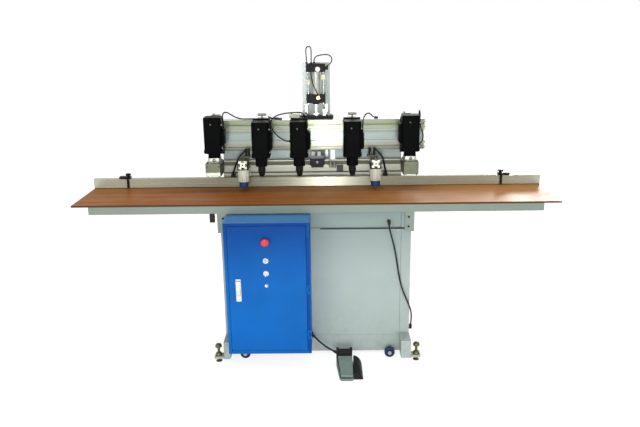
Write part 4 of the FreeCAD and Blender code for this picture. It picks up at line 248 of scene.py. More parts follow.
def painted(name, colour, gloss=(0.34, 0.5), peel=0.10, peel_scale=420.0, tone=0.05, specular=0.5,
            dust=0.0, scuff=0.0, upper=None, left=None):
    """Sprayed enamel or powder coat: tone changes, orange peel, dust low down, small scuffs, and
    where asked a painted shade near the top and a painted highlight on the left.
    """
    s = Shader(name, specular=specular)
    base = s.toned(s.noise(3.1, 4.0, 0.6), colour, 1.0 - tone, 1.0 + tone)
    # painted shade towards the top and painted highlight towards the left, where a finish asks for
    # them
    if upper is not None:
        base = s.mixed(s.across(UP, *TOP_SHADE_FADE), base, upper)
    if left is not None:
        base = s.mixed(s.across(LEFT_RIGHT, *LEFT_HIGHLIGHT_FADE), base, left)
    fine = s.noise(95.0, 3.0, 0.6)
    base = s.mixed(s.remap(fine, 0.35, 0.65, 0.0, 0.12), base, scaled(colour, 0.82))
    if dust:
        height = s.across(UP, DUST_TOP, 0.0)
        speckle = s.remap(s.noise(34.0, 6.0, 0.7), 0.42, 0.7)
        amount = s.combined("MULTIPLY", s.combined("MULTIPLY", height, speckle), dust)
        base = s.mixed(amount, base, DUST)
    if scuff:
        streak = s.noise(1.0, 4.0, 0.75, s.stretched(26.0, 26.0, 210.0), 0.6)
        base = s.mixed(s.remap(streak, 0.69, 0.76, 0.0, scuff), base, scaled(colour, 0.55))
    rough = s.spread(s.noise(16.0, 5.0, 0.65), *gloss)
    normal = s.bump(s.noise(peel_scale, 2.0, 0.5), peel, 0.0006)
    normal = s.bump(s.noise(9.0, 2.0, 0.5), 0.05, 0.002, normal)
    return s.finish(base, rough, normal)


def brushed(name, colour, grain=(3.0, 700.0, 700.0), gloss=(0.24, 0.42), metallic=1.0,
            streak=0.10, relief=0.05, stain=0.35, glint=0.0):
    """Drawn or ground metal: fine lines along one axis, and faint stains or stretched glints."""
    s = Shader(name, metallic=metallic)
    lines = s.noise(1.0, 5.0, 0.7, s.stretched(*grain))
    base = s.toned(lines, colour, 1.0 - streak, 1.0 + streak)
    cloud = s.noise(11.0, 5.0, 0.6, distortion=0.4)
    base = s.mixed(s.remap(cloud, 0.52, 0.75, 0.0, stain), base, scaled(colour, 0.72))
    rough = s.spread(lines, *gloss)
    if glint:
        s.drawn(glint)
    else:
        rough = s.combined("ADD", rough, s.remap(cloud, 0.4, 0.8, 0.0, 0.12))
    return s.finish(base, rough, s.bump(lines, relief, 0.0004))


def machined(name, colour, gloss=(0.28, 0.45), metallic=1.0, speck=0.2, relief=0.12, specular=0.5):
    """Milled, plated or cast metal with an even fine grain and darker flecks."""
    s = Shader(name, metallic=metallic, specular=specular)
    cloud = s.noise(24.0, 5.0, 0.65)
    fine = s.noise(260.0, 4.0, 0.7)
    base = s.toned(cloud, colour, 0.86, 1.1)
    base = s.mixed(s.remap(fine, 0.5, 0.8, 0.0, speck * 2.0), base, scaled(colour, 0.5))
    rough = s.remap(s.combined("MULTIPLY", cloud, fine), 0.12, 0.42, *gloss)
    return s.finish(base, rough, s.bump(s.noise(320.0, 3.0, 0.6), relief, 0.0005))


def moulded(name, colour, gloss=(0.35, 0.55), specular=0.4, grain=0.14, tone=0.12, coat=0.0):
    """Moulded plastic, rubber or polyurethane with a fine spark-eroded grain."""
    s = Shader(name, specular=specular, coat=coat)
    base = s.toned(s.noise(38.0, 4.0, 0.6), colour, 1.0 - tone, 1.0 + tone)
    rough = s.spread(s.noise(60.0, 4.0, 0.6), *gloss)
    return s.finish(base, rough, s.bump(s.cells(900.0), grain, 0.0003))


def laminate():
    """Polished wood-grain laminate: long figure, fine pores, warm patches, a painted highlight
    towards the right end and a slight lightening towards the left end.
    """
    s = Shader("board_laminate", specular=0.05)
    figure = s.noise(1.0, 6.0, 0.62, s.stretched(0.9, 17.0, 17.0), 0.9)
    base = s.ramp(figure, [(0.28, linear(98, 50, 14)), (0.42, linear(126, 72, 22)),
                           (0.55, linear(144, 88, 30)), (0.72, linear(166, 108, 44))])
    bands = s.noise(1.0, 3.0, 0.5, s.stretched(0.5, 4.0, 4.0, (3.0, 1.0, 0.0)))
    base = s.mixed(s.remap(bands, 0.38, 0.66, 0.0, 0.45), base, linear(128, 68, 24))
    pores = s.noise(1.0, 3.0, 0.8, s.stretched(14.0, 520.0, 520.0))
    base = s.mixed(s.remap(pores, 0.56, 0.74, 0.0, 0.5), base, linear(66, 36, 14))
    # a painted highlight growing towards the right end, and a slight lightening towards the left
    # end
    base = s.mixed(s.across(LEFT_RIGHT, *RIGHT_HIGHLIGHT_SPAN, 0.58), base, BOARD_LIGHTER_TONE)
    base = s.mixed(s.across(LEFT_RIGHT, *LEFT_LIGHTENING_SPAN, 0.12), base, BOARD_LIGHTER_TONE)
    rough = s.spread(s.noise(7.0, 5.0, 0.7), 0.36, 0.5)
    normal = s.bump(pores, 0.12, 0.0004)
    normal = s.bump(s.noise(5.0, 2.0, 0.5), 0.05, 0.003, normal)
    return s.finish(base, rough, normal)


def beam_aluminium():
    """Anodised extrusion: drawn lines along its length, and painted light and shade in bands by
    height for each of its planes.
    """
    s = Shader("beam_aluminium", metallic=0.3)
    lines = s.noise(1.0, 5.0, 0.7, s.stretched(2.2, 620.0, 620.0))
    # painted light and shade: bands by height for the extrusion's planes, darker at its foot and in
    # its grooves
    base = s.ramp(s.across(UP, *BEAM_HEIGHTS), [
        (0.0, linear(92, 98, 78)), (0.06, linear(124, 128, 108)), (0.12, linear(160, 164, 142)),
        (0.22, linear(162, 168, 148)), (0.27, linear(166, 179, 174)), (0.55, linear(166, 179, 174)),
        (0.6, linear(140, 152, 140)), (0.68, linear(176, 188, 166)), (0.8, linear(156, 163, 134)),
        (0.98, linear(158, 164, 136))])
    base = s.mixed(s.spread(lines, 0.0, 0.2), base, linear(104, 112, 106))
    cloud = s.noise(6.0, 5.0, 0.6)
    base = s.mixed(s.remap(cloud, 0.5, 0.75, 0.0, 0.22), base, linear(122, 132, 126))
    s.drawn(0.9)
    return s.finish(base, s.spread(lines, 0.22, 0.3), s.bump(lines, 0.04, 0.0004))


ENAMEL = {"scuff": 0.25, "specular": 0.15}
POWDER_COAT = {"peel": 0.16, "specular": 0.08}
PEDAL = {"gloss": (0.4, 0.56), "peel": 0.3, "peel_scale": 300.0, "specular": 0.2}
UPRIGHT = (700.0, 700.0, 4.0)    # grain of lines that run up and down
SATIN = (0.3, 0.5)
DULL = (0.4, 0.55)
SMOOTH = (0.2, 0.32)

# Each finish: the material's name, its display colour and what differs from its maker's usual.
PAINTS = {
    # enamel: its darker upper tone is painted shade, the table's shadow on the base
    "enamel": ("enamel", (163, 175, 171),
               {"scuff": 0.25, "dust": 0.3, "specular": 0.1, "upper": linear(128, 142, 138)}),
    # enamel_column: its lighter left tone is a painted highlight
    "enamel_column": ("enamel_column", (194, 203, 197), {**ENAMEL, "left": linear(242, 248, 245)}),
    "enamel_rail": ("enamel_rail", (129, 141, 132), ENAMEL),
    # blue: its darker upper tone is painted shade, the table's shadow on the box
    "blue": ("blue_coat", (14, 94, 170),
             {**POWDER_COAT, "tone": 0.14, "scuff": 0.3, "upper": linear(2, 56, 126)}),
    # the box's top faces: a lighter copy of the blue, painted light
    "blue_top": ("blue_top", (70, 122, 172),
                 {"peel": 0.16, "specular": 0.1, "gloss": DULL, "tone": 0.08}),
    # the front strip right of the door: a darker copy of the blue, painted shade
    "blue_shade": ("blue_shade", (8, 66, 138), {**POWDER_COAT, "tone": 0.08}),
    "board_edge": ("board_edge", (84, 56, 32), {"gloss": (0.5, 0.65), "specular": 0.05}),
    "motor": ("motor_black", (9, 10, 10), {"gloss": (0.38, 0.52), "peel": 0.2,
                                           "peel_scale": 260.0, "tone": 0.2, "specular": 0.02}),
    "green": ("pedal_green", (112, 130, 122), PEDAL),
    "pedal_dark": ("pedal_dark", (58, 72, 66), PEDAL),
}
BRUSHED = {
    "aluminium": ("aluminium", (176, 178, 164), {"metallic": 0.5, "stain": 0.45}),
    "fence_aluminium": ("fence_aluminium", (170, 172, 153),
                        {"gloss": (0.24, 0.28), "metallic": 0.6, "streak": 0.03, "relief": 0.01,
                         "stain": 0.02, "glint": 0.88}),
    "aluminium_white": ("aluminium_white", (226, 228, 226), {"metallic": 0.6, "streak": 0.05}),
    "aluminium_up": ("aluminium_up", (160, 163, 154), {"grain": UPRIGHT, "metallic": 0.7}),
    "rib_cream": ("rib_cream", (196, 199, 184), {"grain": UPRIGHT, "metallic": 0.35}),
    "steel": ("steel", (168, 170, 168), {"grain": (500.0, 500.0, 30.0), "gloss": (0.18, 0.34)}),
    "rail_steel": ("rail_steel", (150, 154, 154),
                   {"grain": (700.0, 700.0, 3.0), "gloss": (0.12, 0.24)}),
    "drill": ("drill_steel", (150, 150, 146), {"grain": (400.0, 400.0, 60.0), "gloss": SMOOTH}),
    "zinc_plate": ("mount_plate", (150, 164, 162),
                   {"grain": (20.0, 20.0, 20.0), "gloss": SATIN, "metallic": 0.4}),
}
MACHINED = {
    "screw": ("screw_zinc", (176, 178, 172), {"gloss": (0.22, 0.36), "metallic": 0.5}),
    "black_screw": ("black_screw", (42, 42, 42), {"gloss": SATIN, "metallic": 0.7}),
    "screw_dull": ("screw_dull", (104, 104, 100),
                   {"gloss": DULL, "metallic": 0.2, "specular": 0.2}),
    "black_metal": ("black_metal", (19, 19, 18),
                    {"gloss": (0.34, 0.5), "metallic": 0.0, "specular": 0.12}),
    "knob_grey": ("knob_grey", (140, 142, 128), {"gloss": SATIN, "metallic": 0.4}),
    "block_olive": ("block_olive", (152, 154, 134), {"gloss": SATIN, "metallic": 0.4}),
    "end_plate": ("end_plate", (160, 166, 154), {"gloss": SATIN, "metallic": 0.4}),
    # painted shade for slots and shaded faces
    "slot_dark": ("slot_dark", (104, 106, 84), {"gloss": (0.45, 0.6), "metallic": 0.3}),
    "case_silver": ("case_silver", (100, 106, 86), {"gloss": (0.3, 0.45), "metallic": 0.4}),
    # painted highlight for a cover of the left gear case
    "case_bright": ("case_bright", (214, 216, 200), {"gloss": (0.3, 0.45), "metallic": 0.3}),
    # painted shade for the gear cases' inner sides
    "case_dark": ("case_dark", (40, 38, 28), {"gloss": DULL, "metallic": 0.3}),
    "port_olive": ("port_olive", (74, 76, 56), {"gloss": DULL, "metallic": 0.3}),
    # painted shade for the tops of the clamp arms
    "arm_top": ("arm_top", (84, 86, 64), {"gloss": DULL, "metallic": 0.3}),
    "arm_face": ("arm_face", (212, 216, 198), {"gloss": (0.3, 0.45), "metallic": 0.3}),
    "collar_silver": ("collar_silver", (198, 198, 188), {"gloss": (0.24, 0.4), "metallic": 0.8}),
    "olive": ("zinc_olive", (96, 92, 60), {"gloss": (0.25, 0.42), "metallic": 0.8, "speck": 0.4}),
    "brass": ("fitting_brass", (196, 160, 92), {"gloss": (0.2, 0.35)}),
    "nickel": ("fitting_nickel", (190, 188, 178), {"gloss": (0.18, 0.34)}),
    "chrome": ("handle_chrome", (222, 224, 224),
               {"gloss": (0.1, 0.2), "speck": 0.05, "relief": 0.03}),
}
MOULDED = {
    "dark_grey": ("fitting_dark_grey", (70, 72, 66), {"gloss": DULL}),
    "gear_grey": ("gear_grey", (120, 124, 124), {"gloss": DULL}),
    "light_grey": ("gear_light_grey", (196, 198, 194), {"gloss": DULL, "tone": 0.05}),
    "navy": ("pad_navy", (28, 56, 106), {"gloss": (0.34, 0.5), "specular": 0.25}),
    "wheel": ("wheel_navy", (24, 40, 76), {"gloss": (0.3, 0.46), "specular": 0.3}),
    "plastic": ("black_plastic", (17, 18, 19), {"specular": 0.2}),
    "hose": ("hose_black", (12, 13, 14), {"gloss": (0.3, 0.42), "grain": 0.06, "specular": 0.25}),
    "cable": ("cable_black", (14, 15, 16), {"gloss": DULL, "grain": 0.1, "specular": 0.25}),
    "red": ("button_red", (186, 14, 30), {"gloss": SMOOTH, "grain": 0.04, "coat": 0.2}),
    "start_pale": ("button_pale", (150, 176, 206), {"gloss": SMOOTH, "grain": 0.04, "coat": 0.3}),
    "cream": ("sensor_cream", (222, 214, 178), {"gloss": (0.35, 0.5), "grain": 0.06}),
    "white": ("white_plastic", (234, 234, 230),
              {"gloss": (0.35, 0.5), "grain": 0.06, "tone": 0.03}),
}


def make_finishes():
    """Every finish's material, by the finish's name."""
    finishes = {"board": laminate(), "beam": beam_aluminium()}
    for maker, rows in ((painted, PAINTS), (brushed, BRUSHED), (machined, MACHINED),
                        (moulded, MOULDED)):
        for key, (name, colour, options) in rows.items():
            finishes[key] = maker(name, linear(*colour), **options)
    return finishes


# ---- cords ------------------------------------------------------------------
# Routes measured as place() takes them, from the end where the cord leaves its gland.
PEDAL_CORD = [
    (-0.014, -0.062, 0.133), (0.008, -0.069, 0.1125), (0.035, -0.078, 0.0915),
    (0.061, -0.0867, 0.0765), (0.084, -0.0945, 0.067),
]
PANEL_CABLE = [
    (0.367, -0.006, 0.713), (0.367, -0.006, 0.700), (0.375, -0.003, 0.666), (0.389, 0.003, 0.616),
    (0.402, 0.007, 0.560), (0.412, 0.009, 0.500), (0.421, 0.008, 0.440), (0.434, 0.008, 0.382),
    (0.452, 0.006, 0.330), (0.472, 0.003, 0.286), (0.487, 0.004, 0.246), (0.491, 0.012, 0.206),
    (0.491, 0.022, 0.176), (0.491, 0.034, 0.155),
]
MOTOR_CABLES = [
    [
        (-0.486, 0.318, 1.168), (-0.486, 0.318, 1.190), (-0.489, 0.319, 1.215),
        (-0.486, 0.325, 1.236), (-0.472, 0.336, 1.240), (-0.459, 0.350, 1.232),
        (-0.443, 0.370, 1.217), (-0.424, 0.393, 1.202), (-0.398, 0.416, 1.1915),
        (-0.368, 0.430, 1.190), (-0.300, 0.436, 1.190), (-0.255, 0.434, 1.1905),
        (-0.222, 0.437, 1.190),
    ],
    [
        (-0.236, 0.318, 1.142), (-0.236, 0.318, 1.164), (-0.238, 0.326, 1.192),
        (-0.246, 0.348, 1.208), (-0.252, 0.374, 1.209), (-0.250, 0.397, 1.2055),
        (-0.240, 0.413, 1.196), (-0.223, 0.420, 1.1905), (-0.202, 0.421, 1.190),
    ],
    [
        (-0.141, 0.330, 1.082), (-0.156, 0.330, 1.082), (-0.176, 0.327, 1.093),
        (-0.196, 0.320, 1.108), (-0.213, 0.313, 1.127), (-0.226, 0.307, 1.148),
        (-0.234, 0.305, 1.172), (-0.232, 0.309, 1.196), (-0.218, 0.319, 1.213),
        (-0.190, 0.334, 1.224), (-0.154, 0.350, 1.229), (-0.116, 0.366, 1.229),
        (-0.086, 0.386, 1.228), (-0.065, 0.408, 1.220), (-0.058, 0.4235, 1.201),
    ],
    [
        (0.249, 0.318, 1.142), (0.249, 0.318, 1.167), (0.253, 0.321, 1.198), (0.264, 0.334, 1.220),
        (0.282, 0.354, 1.225), (0.298, 0.380, 1.214), (0.308, 0.408, 1.199), (0.322, 0.430, 1.1905),
    ],
    [
        (0.553, 0.318, 1.062), (0.5615, 0.318, 1.073), (0.569, 0.3185, 1.089),
        (0.570, 0.319, 1.108), (0.565, 0.3195, 1.127), (0.557, 0.320, 1.146),
        (0.5525, 0.320, 1.170), (0.5515, 0.3205, 1.195), (0.5515, 0.322, 1.216),
        (0.5515, 0.331, 1.232), (0.5515, 0.350, 1.236), (0.553, 0.373, 1.230),
        (0.556, 0.394, 1.216), (0.557, 0.412, 1.200), (0.552, 0.430, 1.1905),
    ],
]
AIR_HOSES = [
    [
        (-0.044, 0.430, 1.490), (-0.044, 0.430, 1.512), (-0.0465, 0.429, 1.538),
        (-0.0455, 0.429, 1.560), (-0.0379, 0.429, 1.568), (-0.0271, 0.429, 1.568),
        (-0.0195, 0.429, 1.560), (-0.018, 0.429, 1.538), (-0.019, 0.430, 1.512),
        (-0.019, 0.430, 1.490),
    ],
    [
        (-0.004, 0.430, 1.490), (-0.004, 0.430, 1.501), (0.006, 0.428, 1.517),
        (0.026, 0.426, 1.523), (0.048, 0.424, 1.526), (0.071, 0.422, 1.526), (0.090, 0.421, 1.513),
        (0.091, 0.421, 1.492), (0.081, 0.421, 1.478), (0.071, 0.421, 1.470),
    ],
    [
        (-0.022, 0.401, 1.458), (-0.022, 0.401, 1.441), (-0.020, 0.394, 1.414),
        (-0.013, 0.390, 1.384), (-0.003, 0.389, 1.355), (0.008, 0.391, 1.335),
        (0.017, 0.4005, 1.318),
    ],
    [
        (-0.387, 0.368, 1.022), (-0.3975, 0.368, 1.012), (-0.410, 0.3685, 0.9985),
        (-0.421, 0.3695, 0.9815), (-0.4285, 0.371, 0.966), (-0.4345, 0.373, 0.951),
        (-0.441, 0.376, 0.936), (-0.448, 0.3805, 0.918), (-0.453, 0.385, 0.903),
    ],
    [
        (0.326, 0.368, 1.022), (0.3365, 0.368, 1.013), (0.348, 0.3685, 1.001),
        (0.3575, 0.3695, 0.986), (0.3645, 0.371, 0.970), (0.369, 0.373, 0.953),
        (0.372, 0.376, 0.936), (0.3755, 0.3805, 0.918), (0.379, 0.385, 0.903),
    ],
]
PEDAL_CORD_RADIUS, PEDAL_CORD_LENGTH = 0.0048, 0.1235
PANEL_CABLE_RADIUS, PANEL_CABLE_LENGTH = 0.004, 0.581
CABLE_RADIUS = 0.0035
CABLE_LENGTHS = (0.384, 0.188, 0.394, 0.202, 0.291)
HOSE_RADII = (0.003, 0.003, 0.003, 0.005, 0.005)
HOSE_LENGTHS = (0.171, 0.167, 0.151, 0.1395, 0.136)
CURVE_STEPS = 14
CURVE_ORDER = 3
BEVEL_STEPS = 5
TUBE_SIDES = 14
NEARLY_ALONG = 0.95          # a side direction this close to the tube's own is chosen anew


def cord_curve(name, route, radius):
    """A smooth curve with the route's points as its control points."""
    data = bpy.data.curves.new(name, "CURVE")
    data.dimensions = "3D"
    data.resolution_u = CURVE_STEPS
    spline = data.splines.new("NURBS")
    spline.points.add(len(route) - 1)
    for point, at in zip(spline.points, route):
        point.co = (*place(*at), 1.0)
    spline.order_u = CURVE_ORDER
    spline.use_endpoint_u = True
    data.bevel_depth = radius
    data.bevel_resolution = BEVEL_STEPS
    data.use_fill_caps = True
    return add_object(name, data)


def fixed_cord(name, route, radius, node, finish):
    """A cord with both ends on the machine's frame."""
    piece = cord_curve(name, route, radius)
    piece.data.materials.append(finish)
    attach(piece, "machine")
    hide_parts(node)


def path_points(name, route):
    """Points along the route's smooth curve."""
    guide = cord_curve(name + "_guide", route, 0.0)
    guide.data.use_fill_caps = False
    bpy.context.view_layer.update()
    shaped = guide.evaluated_get(bpy.context.evaluated_depsgraph_get())
    points = [vertex.co.copy() for vertex in bpy.data.meshes.new_from_object(shaped).vertices]
    bpy.data.objects.remove(guide)
    return points


def tube_mesh(name, points, radius):
    """A closed tube along the points, turned as little as possible from ring to ring."""
    bm = bmesh.new()
    side = Vector((1.0, 0.0, 0.0))
    rings = []
    for index, point in enumerate(points):
        before = points[max(index - 1, 0)]
        after = points[min(index + 1, len(points) - 1)]
        along = (after - before).normalized()
        if abs(along.dot(side)) > NEARLY_ALONG:
            side = along.orthogonal()
        side = (side - along * side.dot(along)).normalized()
        other = along.cross(side)
        ring = []
        for step in range(TUBE_SIDES):
            angle = 2 * math.pi * step / TUBE_SIDES
            outward = side * math.cos(angle) + other * math.sin(angle)
            ring.append(bm.verts.new(point + outward * radius))
        rings.append(ring)
    skin(bm, rings)
    for face in bm.faces:
        face.smooth = len(face.verts) == 4
    return mesh_of(bm, name)


def skin(bm, rings):
    """Closes a body over rings of corners, and turns its faces outward."""
    for low, high in zip(rings, rings[1:]):
        for step in range(len(low)):
            following = (step + 1) % len(low)
            bm.faces.new((low[step], low[following], high[following], high[step]))
    bm.faces.new(list(reversed(rings[0])))
    bm.faces.new(rings[-1])
    bmesh.ops.recalc_face_normals(bm, faces=bm.faces)


def mesh_of(bm, name):
    """The finished mesh, with its working copy freed."""
    mesh = bpy.data.meshes.new(name)
    bm.to_mesh(mesh)
    bm.free()
    return mesh


def add_cords(finishes):
    """The pedal's cord, the panel's cable, the hoses, and the motor cables."""
    fixed_cord("pedal_lead", PEDAL_CORD, PEDAL_CORD_RADIUS, "pedal_cord",
               finishes["cable"])
    fixed_cord("panel_cable", PANEL_CABLE, PANEL_CABLE_RADIUS, "air_hoses",
               finishes["cable"])
    hoses = zip(AIR_HOSES, HOSE_RADII, HOSE_LENGTHS)
    for number, (route, radius, length) in enumerate(hoses, 1):
        fixed_cord("air_hose_%d" % number, route, radius, "air_hoses", finishes["hose"])
    for number, (route, length) in enumerate(zip(MOTOR_CABLES, CABLE_LENGTHS), 1):
        name = "motor_cable_%d" % number
        points = path_points(name, route)
        piece = add_object(name, tube_mesh(name, points, CABLE_RADIUS))
        piece.data.materials.append(finishes["cable"])
        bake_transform(piece)
        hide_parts("motor_cables")


# ---- softened copies of the CAD nodes ---------------------------------------
FLAT_ANGLE = math.radians(0.7)
EDGE_ANGLE = math.radians(34.0)
SHARP_ANGLE = math.radians(50.0)
EDGE_WIDTH = 0.8             # rounding of hard edges, in millimetres
LEAST_WIDTH = 0.15
WIDTH_SHARE = 0.06           # of a solid's least size
SHADING_WEIGHT = 80
KEY_DIGITS = 6               # corners that agree in this many decimals are one


def solids_of(mesh):
    """The mesh's triangles, as lists of corners, for each closed solid in turn."""
    keys = [tuple(round(value, KEY_DIGITS) for value in vertex.co) for vertex in mesh.vertices]
    groups, current, open_edges = [], [], set()
    for polygon in mesh.polygons:
        corners = [keys[index] for index in polygon.vertices]
        if len(set(corners)) < 3:
            continue
        current.append(corners)
        for first, second in zip(corners, corners[1:] + corners[:1]):
            open_edges ^= {(min(first, second), max(first, second))}
        if not open_edges:
            groups.append(current)
            current = []
    if current:
        groups.append(current)
    return groups


def from_edge(point):
    """A place in the row frame, in millimetres from the table's front edge and the floor."""
    return Vector((point[0], point[1] + TABLE_AXIS, point[2])) / MM


def extent(triangles):
    """The middle and size of a solid, in millimetres."""
    points = [point for triangle in triangles for point in triangle]
    low = Vector([min(point[axis] for point in points) for axis in range(3)])
    high = Vector([max(point[axis] for point in points) for axis in range(3)])
    return from_edge((low + high) / 2), (high - low) / MM


def softened_solid(triangles, choose, used):
    """One solid with merged faces, a finish on each face and rounded hard edges."""
    bm = bmesh.new()
    made = {}
    for triangle in triangles:
        for point in triangle:
            if point not in made:
                made[point] = bm.verts.new(point)
        vertices = [made[point] for point in triangle]
        if bm.faces.get(vertices) is None:
            bm.faces.new(vertices)
    bm.normal_update()
    middle, size = extent(triangles)
    for face in bm.faces:
        finish = choose if isinstance(choose, str) else choose(middle, size, face)
        if finish not in used:
            used.append(finish)
        face.material_index = used.index(finish)
    bmesh.ops.dissolve_limit(bm, angle_limit=FLAT_ANGLE, verts=bm.verts, edges=bm.edges,
                             delimit={"MATERIAL"}, use_dissolve_boundaries=False)
    bm.normal_update()
    hard = [edge for edge in bm.edges if turns_more(edge, EDGE_ANGLE)]
    if hard:
        width = min(EDGE_WIDTH, max(LEAST_WIDTH, WIDTH_SHARE * min(size)))
        bmesh.ops.bevel(bm, geom=hard, offset=width * MM, offset_type="OFFSET", segments=2,
                        profile=0.5, affect="EDGES", clamp_overlap=False, loop_slide=False,
                        material=-1)
    bm.normal_update()
    for face in bm.faces:
        face.smooth = True
    for edge in bm.edges:
        edge.smooth = not turns_more(edge, SHARP_ANGLE)
    return bm


def turns_more(edge, angle):
    """Whether two faces meet at the edge, at more than the angle."""
    return len(edge.link_faces) == 2 and edge.calc_face_angle() > angle


def dress(node, choose, finishes):
    """A copy of a CAD node: merged faces, rounded edges, a finish for each solid or face."""
    source = frame["nodes"][node]
    used = []
    whole = bmesh.new()
    for triangles in solids_of(source.data):
        solid = mesh_of(softened_solid(triangles, choose, used), "solid")
        whole.from_mesh(solid)
        bpy.data.meshes.remove(solid)
    mesh = mesh_of(whole, node + "_body")
    for finish in used:
        mesh.materials.append(finishes[finish])
    piece = add_object(node + "_body", mesh)
    weighted = piece.modifiers.new("even_shading", "WEIGHTED_NORMAL")
    weighted.mode = "FACE_AREA"
    weighted.weight = SHADING_WEIGHT
    weighted.keep_sharp = True
    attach(piece, source["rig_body"])
    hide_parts(node)


# ---- which finish goes where ------------------------------------------------
# Each chooser is asked about a face of one of its node's solids. It tells the solids apart by
# their middle and size in millimetres: x to the right, y back from the table's front edge, z up.
SCREW_SIZE = 16.0            # a solid smaller than this every way is a screw or the like
BEAM_LIP = 1.5               # faces further behind the clamp beam's front lie in its slots
ARM_LIP = 2.0                # and the same for the clamp arms
FACING = 0.9                 # how nearly a face's normal has to lie along an axis


def is_small(size, limit=SCREW_SIZE):
    return max(size) < limit


def choose_screwed(main, screw="screw", limit=SCREW_SIZE):
    """The main finish, with another on the small solids."""
    def choose(middle, size, face):
        return screw if is_small(size, limit) else main
    return choose


def choose_base_frame(middle, size, face):
    wheel_axle = max(size.x, size.z) < 23 and abs(middle.x) < 400
    return "steel" if wheel_axle else "enamel"


def choose_board(middle, size, face):
    return "board" if abs(face.normal.z) > FACING else "board_edge"


def choose_fence(middle, size, face):
    # the thin strip under the fence is black as a painted shadow in the gap below the fence
    shadow_gap_strip = size.z < 4
    return "black_metal" if shadow_gap_strip else "fence_aluminium"


def choose_feed_beam(middle, size, face):
    if is_small(size):
        return "black_screw"
    return "beam" if size.x > 100 else "end_plate"    # the extrusion, or its end plates


def choose_push_plate(middle, size, face):
    if size.x > 100:                                  # the plate
        return "black_metal"
    if size.z > 30:                                   # the sensor flag
        return "aluminium_white"
    cable_gland = not -200 <= middle.x <= 300 or middle.z < 1200 or size.z > 10
    return "plastic" if cable_gland else "screw"


def choose_cylinder(middle, size, face):
    if size.x > 90:                                   # the two end caps
        return "black_metal"
    return "aluminium_up" if size.x > 50 else "steel"     # the tube, or its tie rods


def choose_clamp_frame(middle, size, face):
    at = from_edge(face.calc_center_median())
    if is_small(size):
        return "black_screw"
    if size.x > 500:                                  # the cross beam, with painted shade in its front slots
        in_slot = face.normal.y < -0.5 and at.y > middle.y - size.y / 2 + BEAM_LIP
        return "slot_dark" if in_slot else "aluminium"
    if size.x > 300:                                  # the back plates on it, or their lips
        return "zinc_plate" if size.z > 20 else "black_metal"
    if size.y > 90 and size.z < 30:                   # the plates under the arms
        return "black_metal"
    if size.y > 100:                                  # the arms, with painted shade in their slots, on their tops, sides and undersides
        if face.normal.y < -FACING:
            # front faces behind the lip are black, a painted shade deep in the slots
            return "black_metal" if at.y > middle.y - size.y / 2 + ARM_LIP else "arm_face"
        in_slot = abs(at.x - middle.x) < size.x / 2 - 1 and abs(at.z - middle.z) < size.z / 2 - 1
        if in_slot and at.z > middle.z - 8:
            return "arm_face"
        # up-facing faces take a dark olive painted shade, the others the slots' painted shade
        return "arm_top" if face.normal.z > 0.5 else "slot_dark"
    return "aluminium"


def choose_pad(middle, size, face):
    return "navy" if size.x > 40 else "steel"         # the pad, or its piston


def choose_air(middle, size, face):
    if middle.x < -500:                               # the latch at the front rail's left end
        return "plastic"
    if middle.z < 100:                                # the air inlet at the rear
        return "nickel"
    if middle.z < 760:                                # the panel cable's two glands
        return "plastic"
    if middle.z > 1440:                               # the cylinder's dial and upper elbows
        return "white" if size.x > 25 else "plastic"
    if middle.z > 1290:                               # its brass silencer and reed sensors
        return "brass" if middle.z < 1320 else "cream"
    if 60 < middle.x < 140:                           # the gauge block and the regulators
        return "dark_grey" if size.x > 30 else "knob_grey"
    if abs(middle.x) < 60:                            # the manifold, with its valves and screw
        if size.x < 60:
            return "light_grey"
        valve_plate = size.z < 16 and size.y < 30
        return "gear_grey" if valve_plate else "plastic"
    if middle.z > 980:                                # the clamp arms' port blocks and elbows
        return "port_olive" if from_edge(face.calc_center_median()).z < 999.5 else "plastic"
    return "plastic"                                  # the hoses' feet on the fence


def choose_box(middle, size, face):
    if size.x > 300:                                  # the shell, with painted shade on its front right of the door
        if face.normal.y < -FACING and from_edge(face.calc_center_median()).x > -42:
            return "blue_shade"
        # the top faces get painted light, a lighter copy of the blue
        return "blue_top" if face.normal.z > 0.7 else "blue"
    if size.z > 40:                                   # the hinge pins
        return "steel"
    return "blue" if size.x < 17 else "plastic"       # the hinge knuckles, or the glands


def choose_gear(middle, size, face):
    if size.x > 340:                                  # the mounting plate
        return "zinc_plate"
    if size.z < 40 and size.y < 10:                   # its rails and posts
        return "steel"
    if size.x < 15:                                   # the terminals
        return "light_grey"
    if size.z > 80:                                   # the breakers and the relay unit
        return "light_grey" if size.x < 50 else "gear_grey"
    return "plastic"


def choose_door(middle, size, face):
    if size.x > 300 or middle.x > -60:                # the tray and its hinge knuckles
        return "blue"
    if middle.x < -300:                               # the handle's base
        return "chrome"
    return "nickel" if size.y < 10 else "plastic"     # the bezels, or the contact blocks


def choose_pedal(middle, size, face):
    if size.x > 84 and size.z < 13:                   # the base plate
        return "green"
    if size.x > 80 and size.y > 138:                  # the left wall and hinge pin
        return "pedal_dark"
    return "plastic"


def choose_carriage(middle, size, face):
    if is_small(size):
        return "black_screw"
    if size.z > 100:                                  # the slide plate
        return "black_metal"
    return "aluminium_white" if size.y < 20 else "block_olive"    # the pads, or the lock block


def choose_motor(middle, size, face):
    if is_small(size) and size.y < 6:                 # the front screw
        return "screw_dull"
    if size.x < 5:                                    # the side screws
        return "screw"
    if is_small(size, 14.0):                          # the cable's gland
        return "plastic"
    stator = 50 < size.x < 80 and size.z > 80
    bearing = size.z < 18
    return "steel" if stator or bearing else "motor"


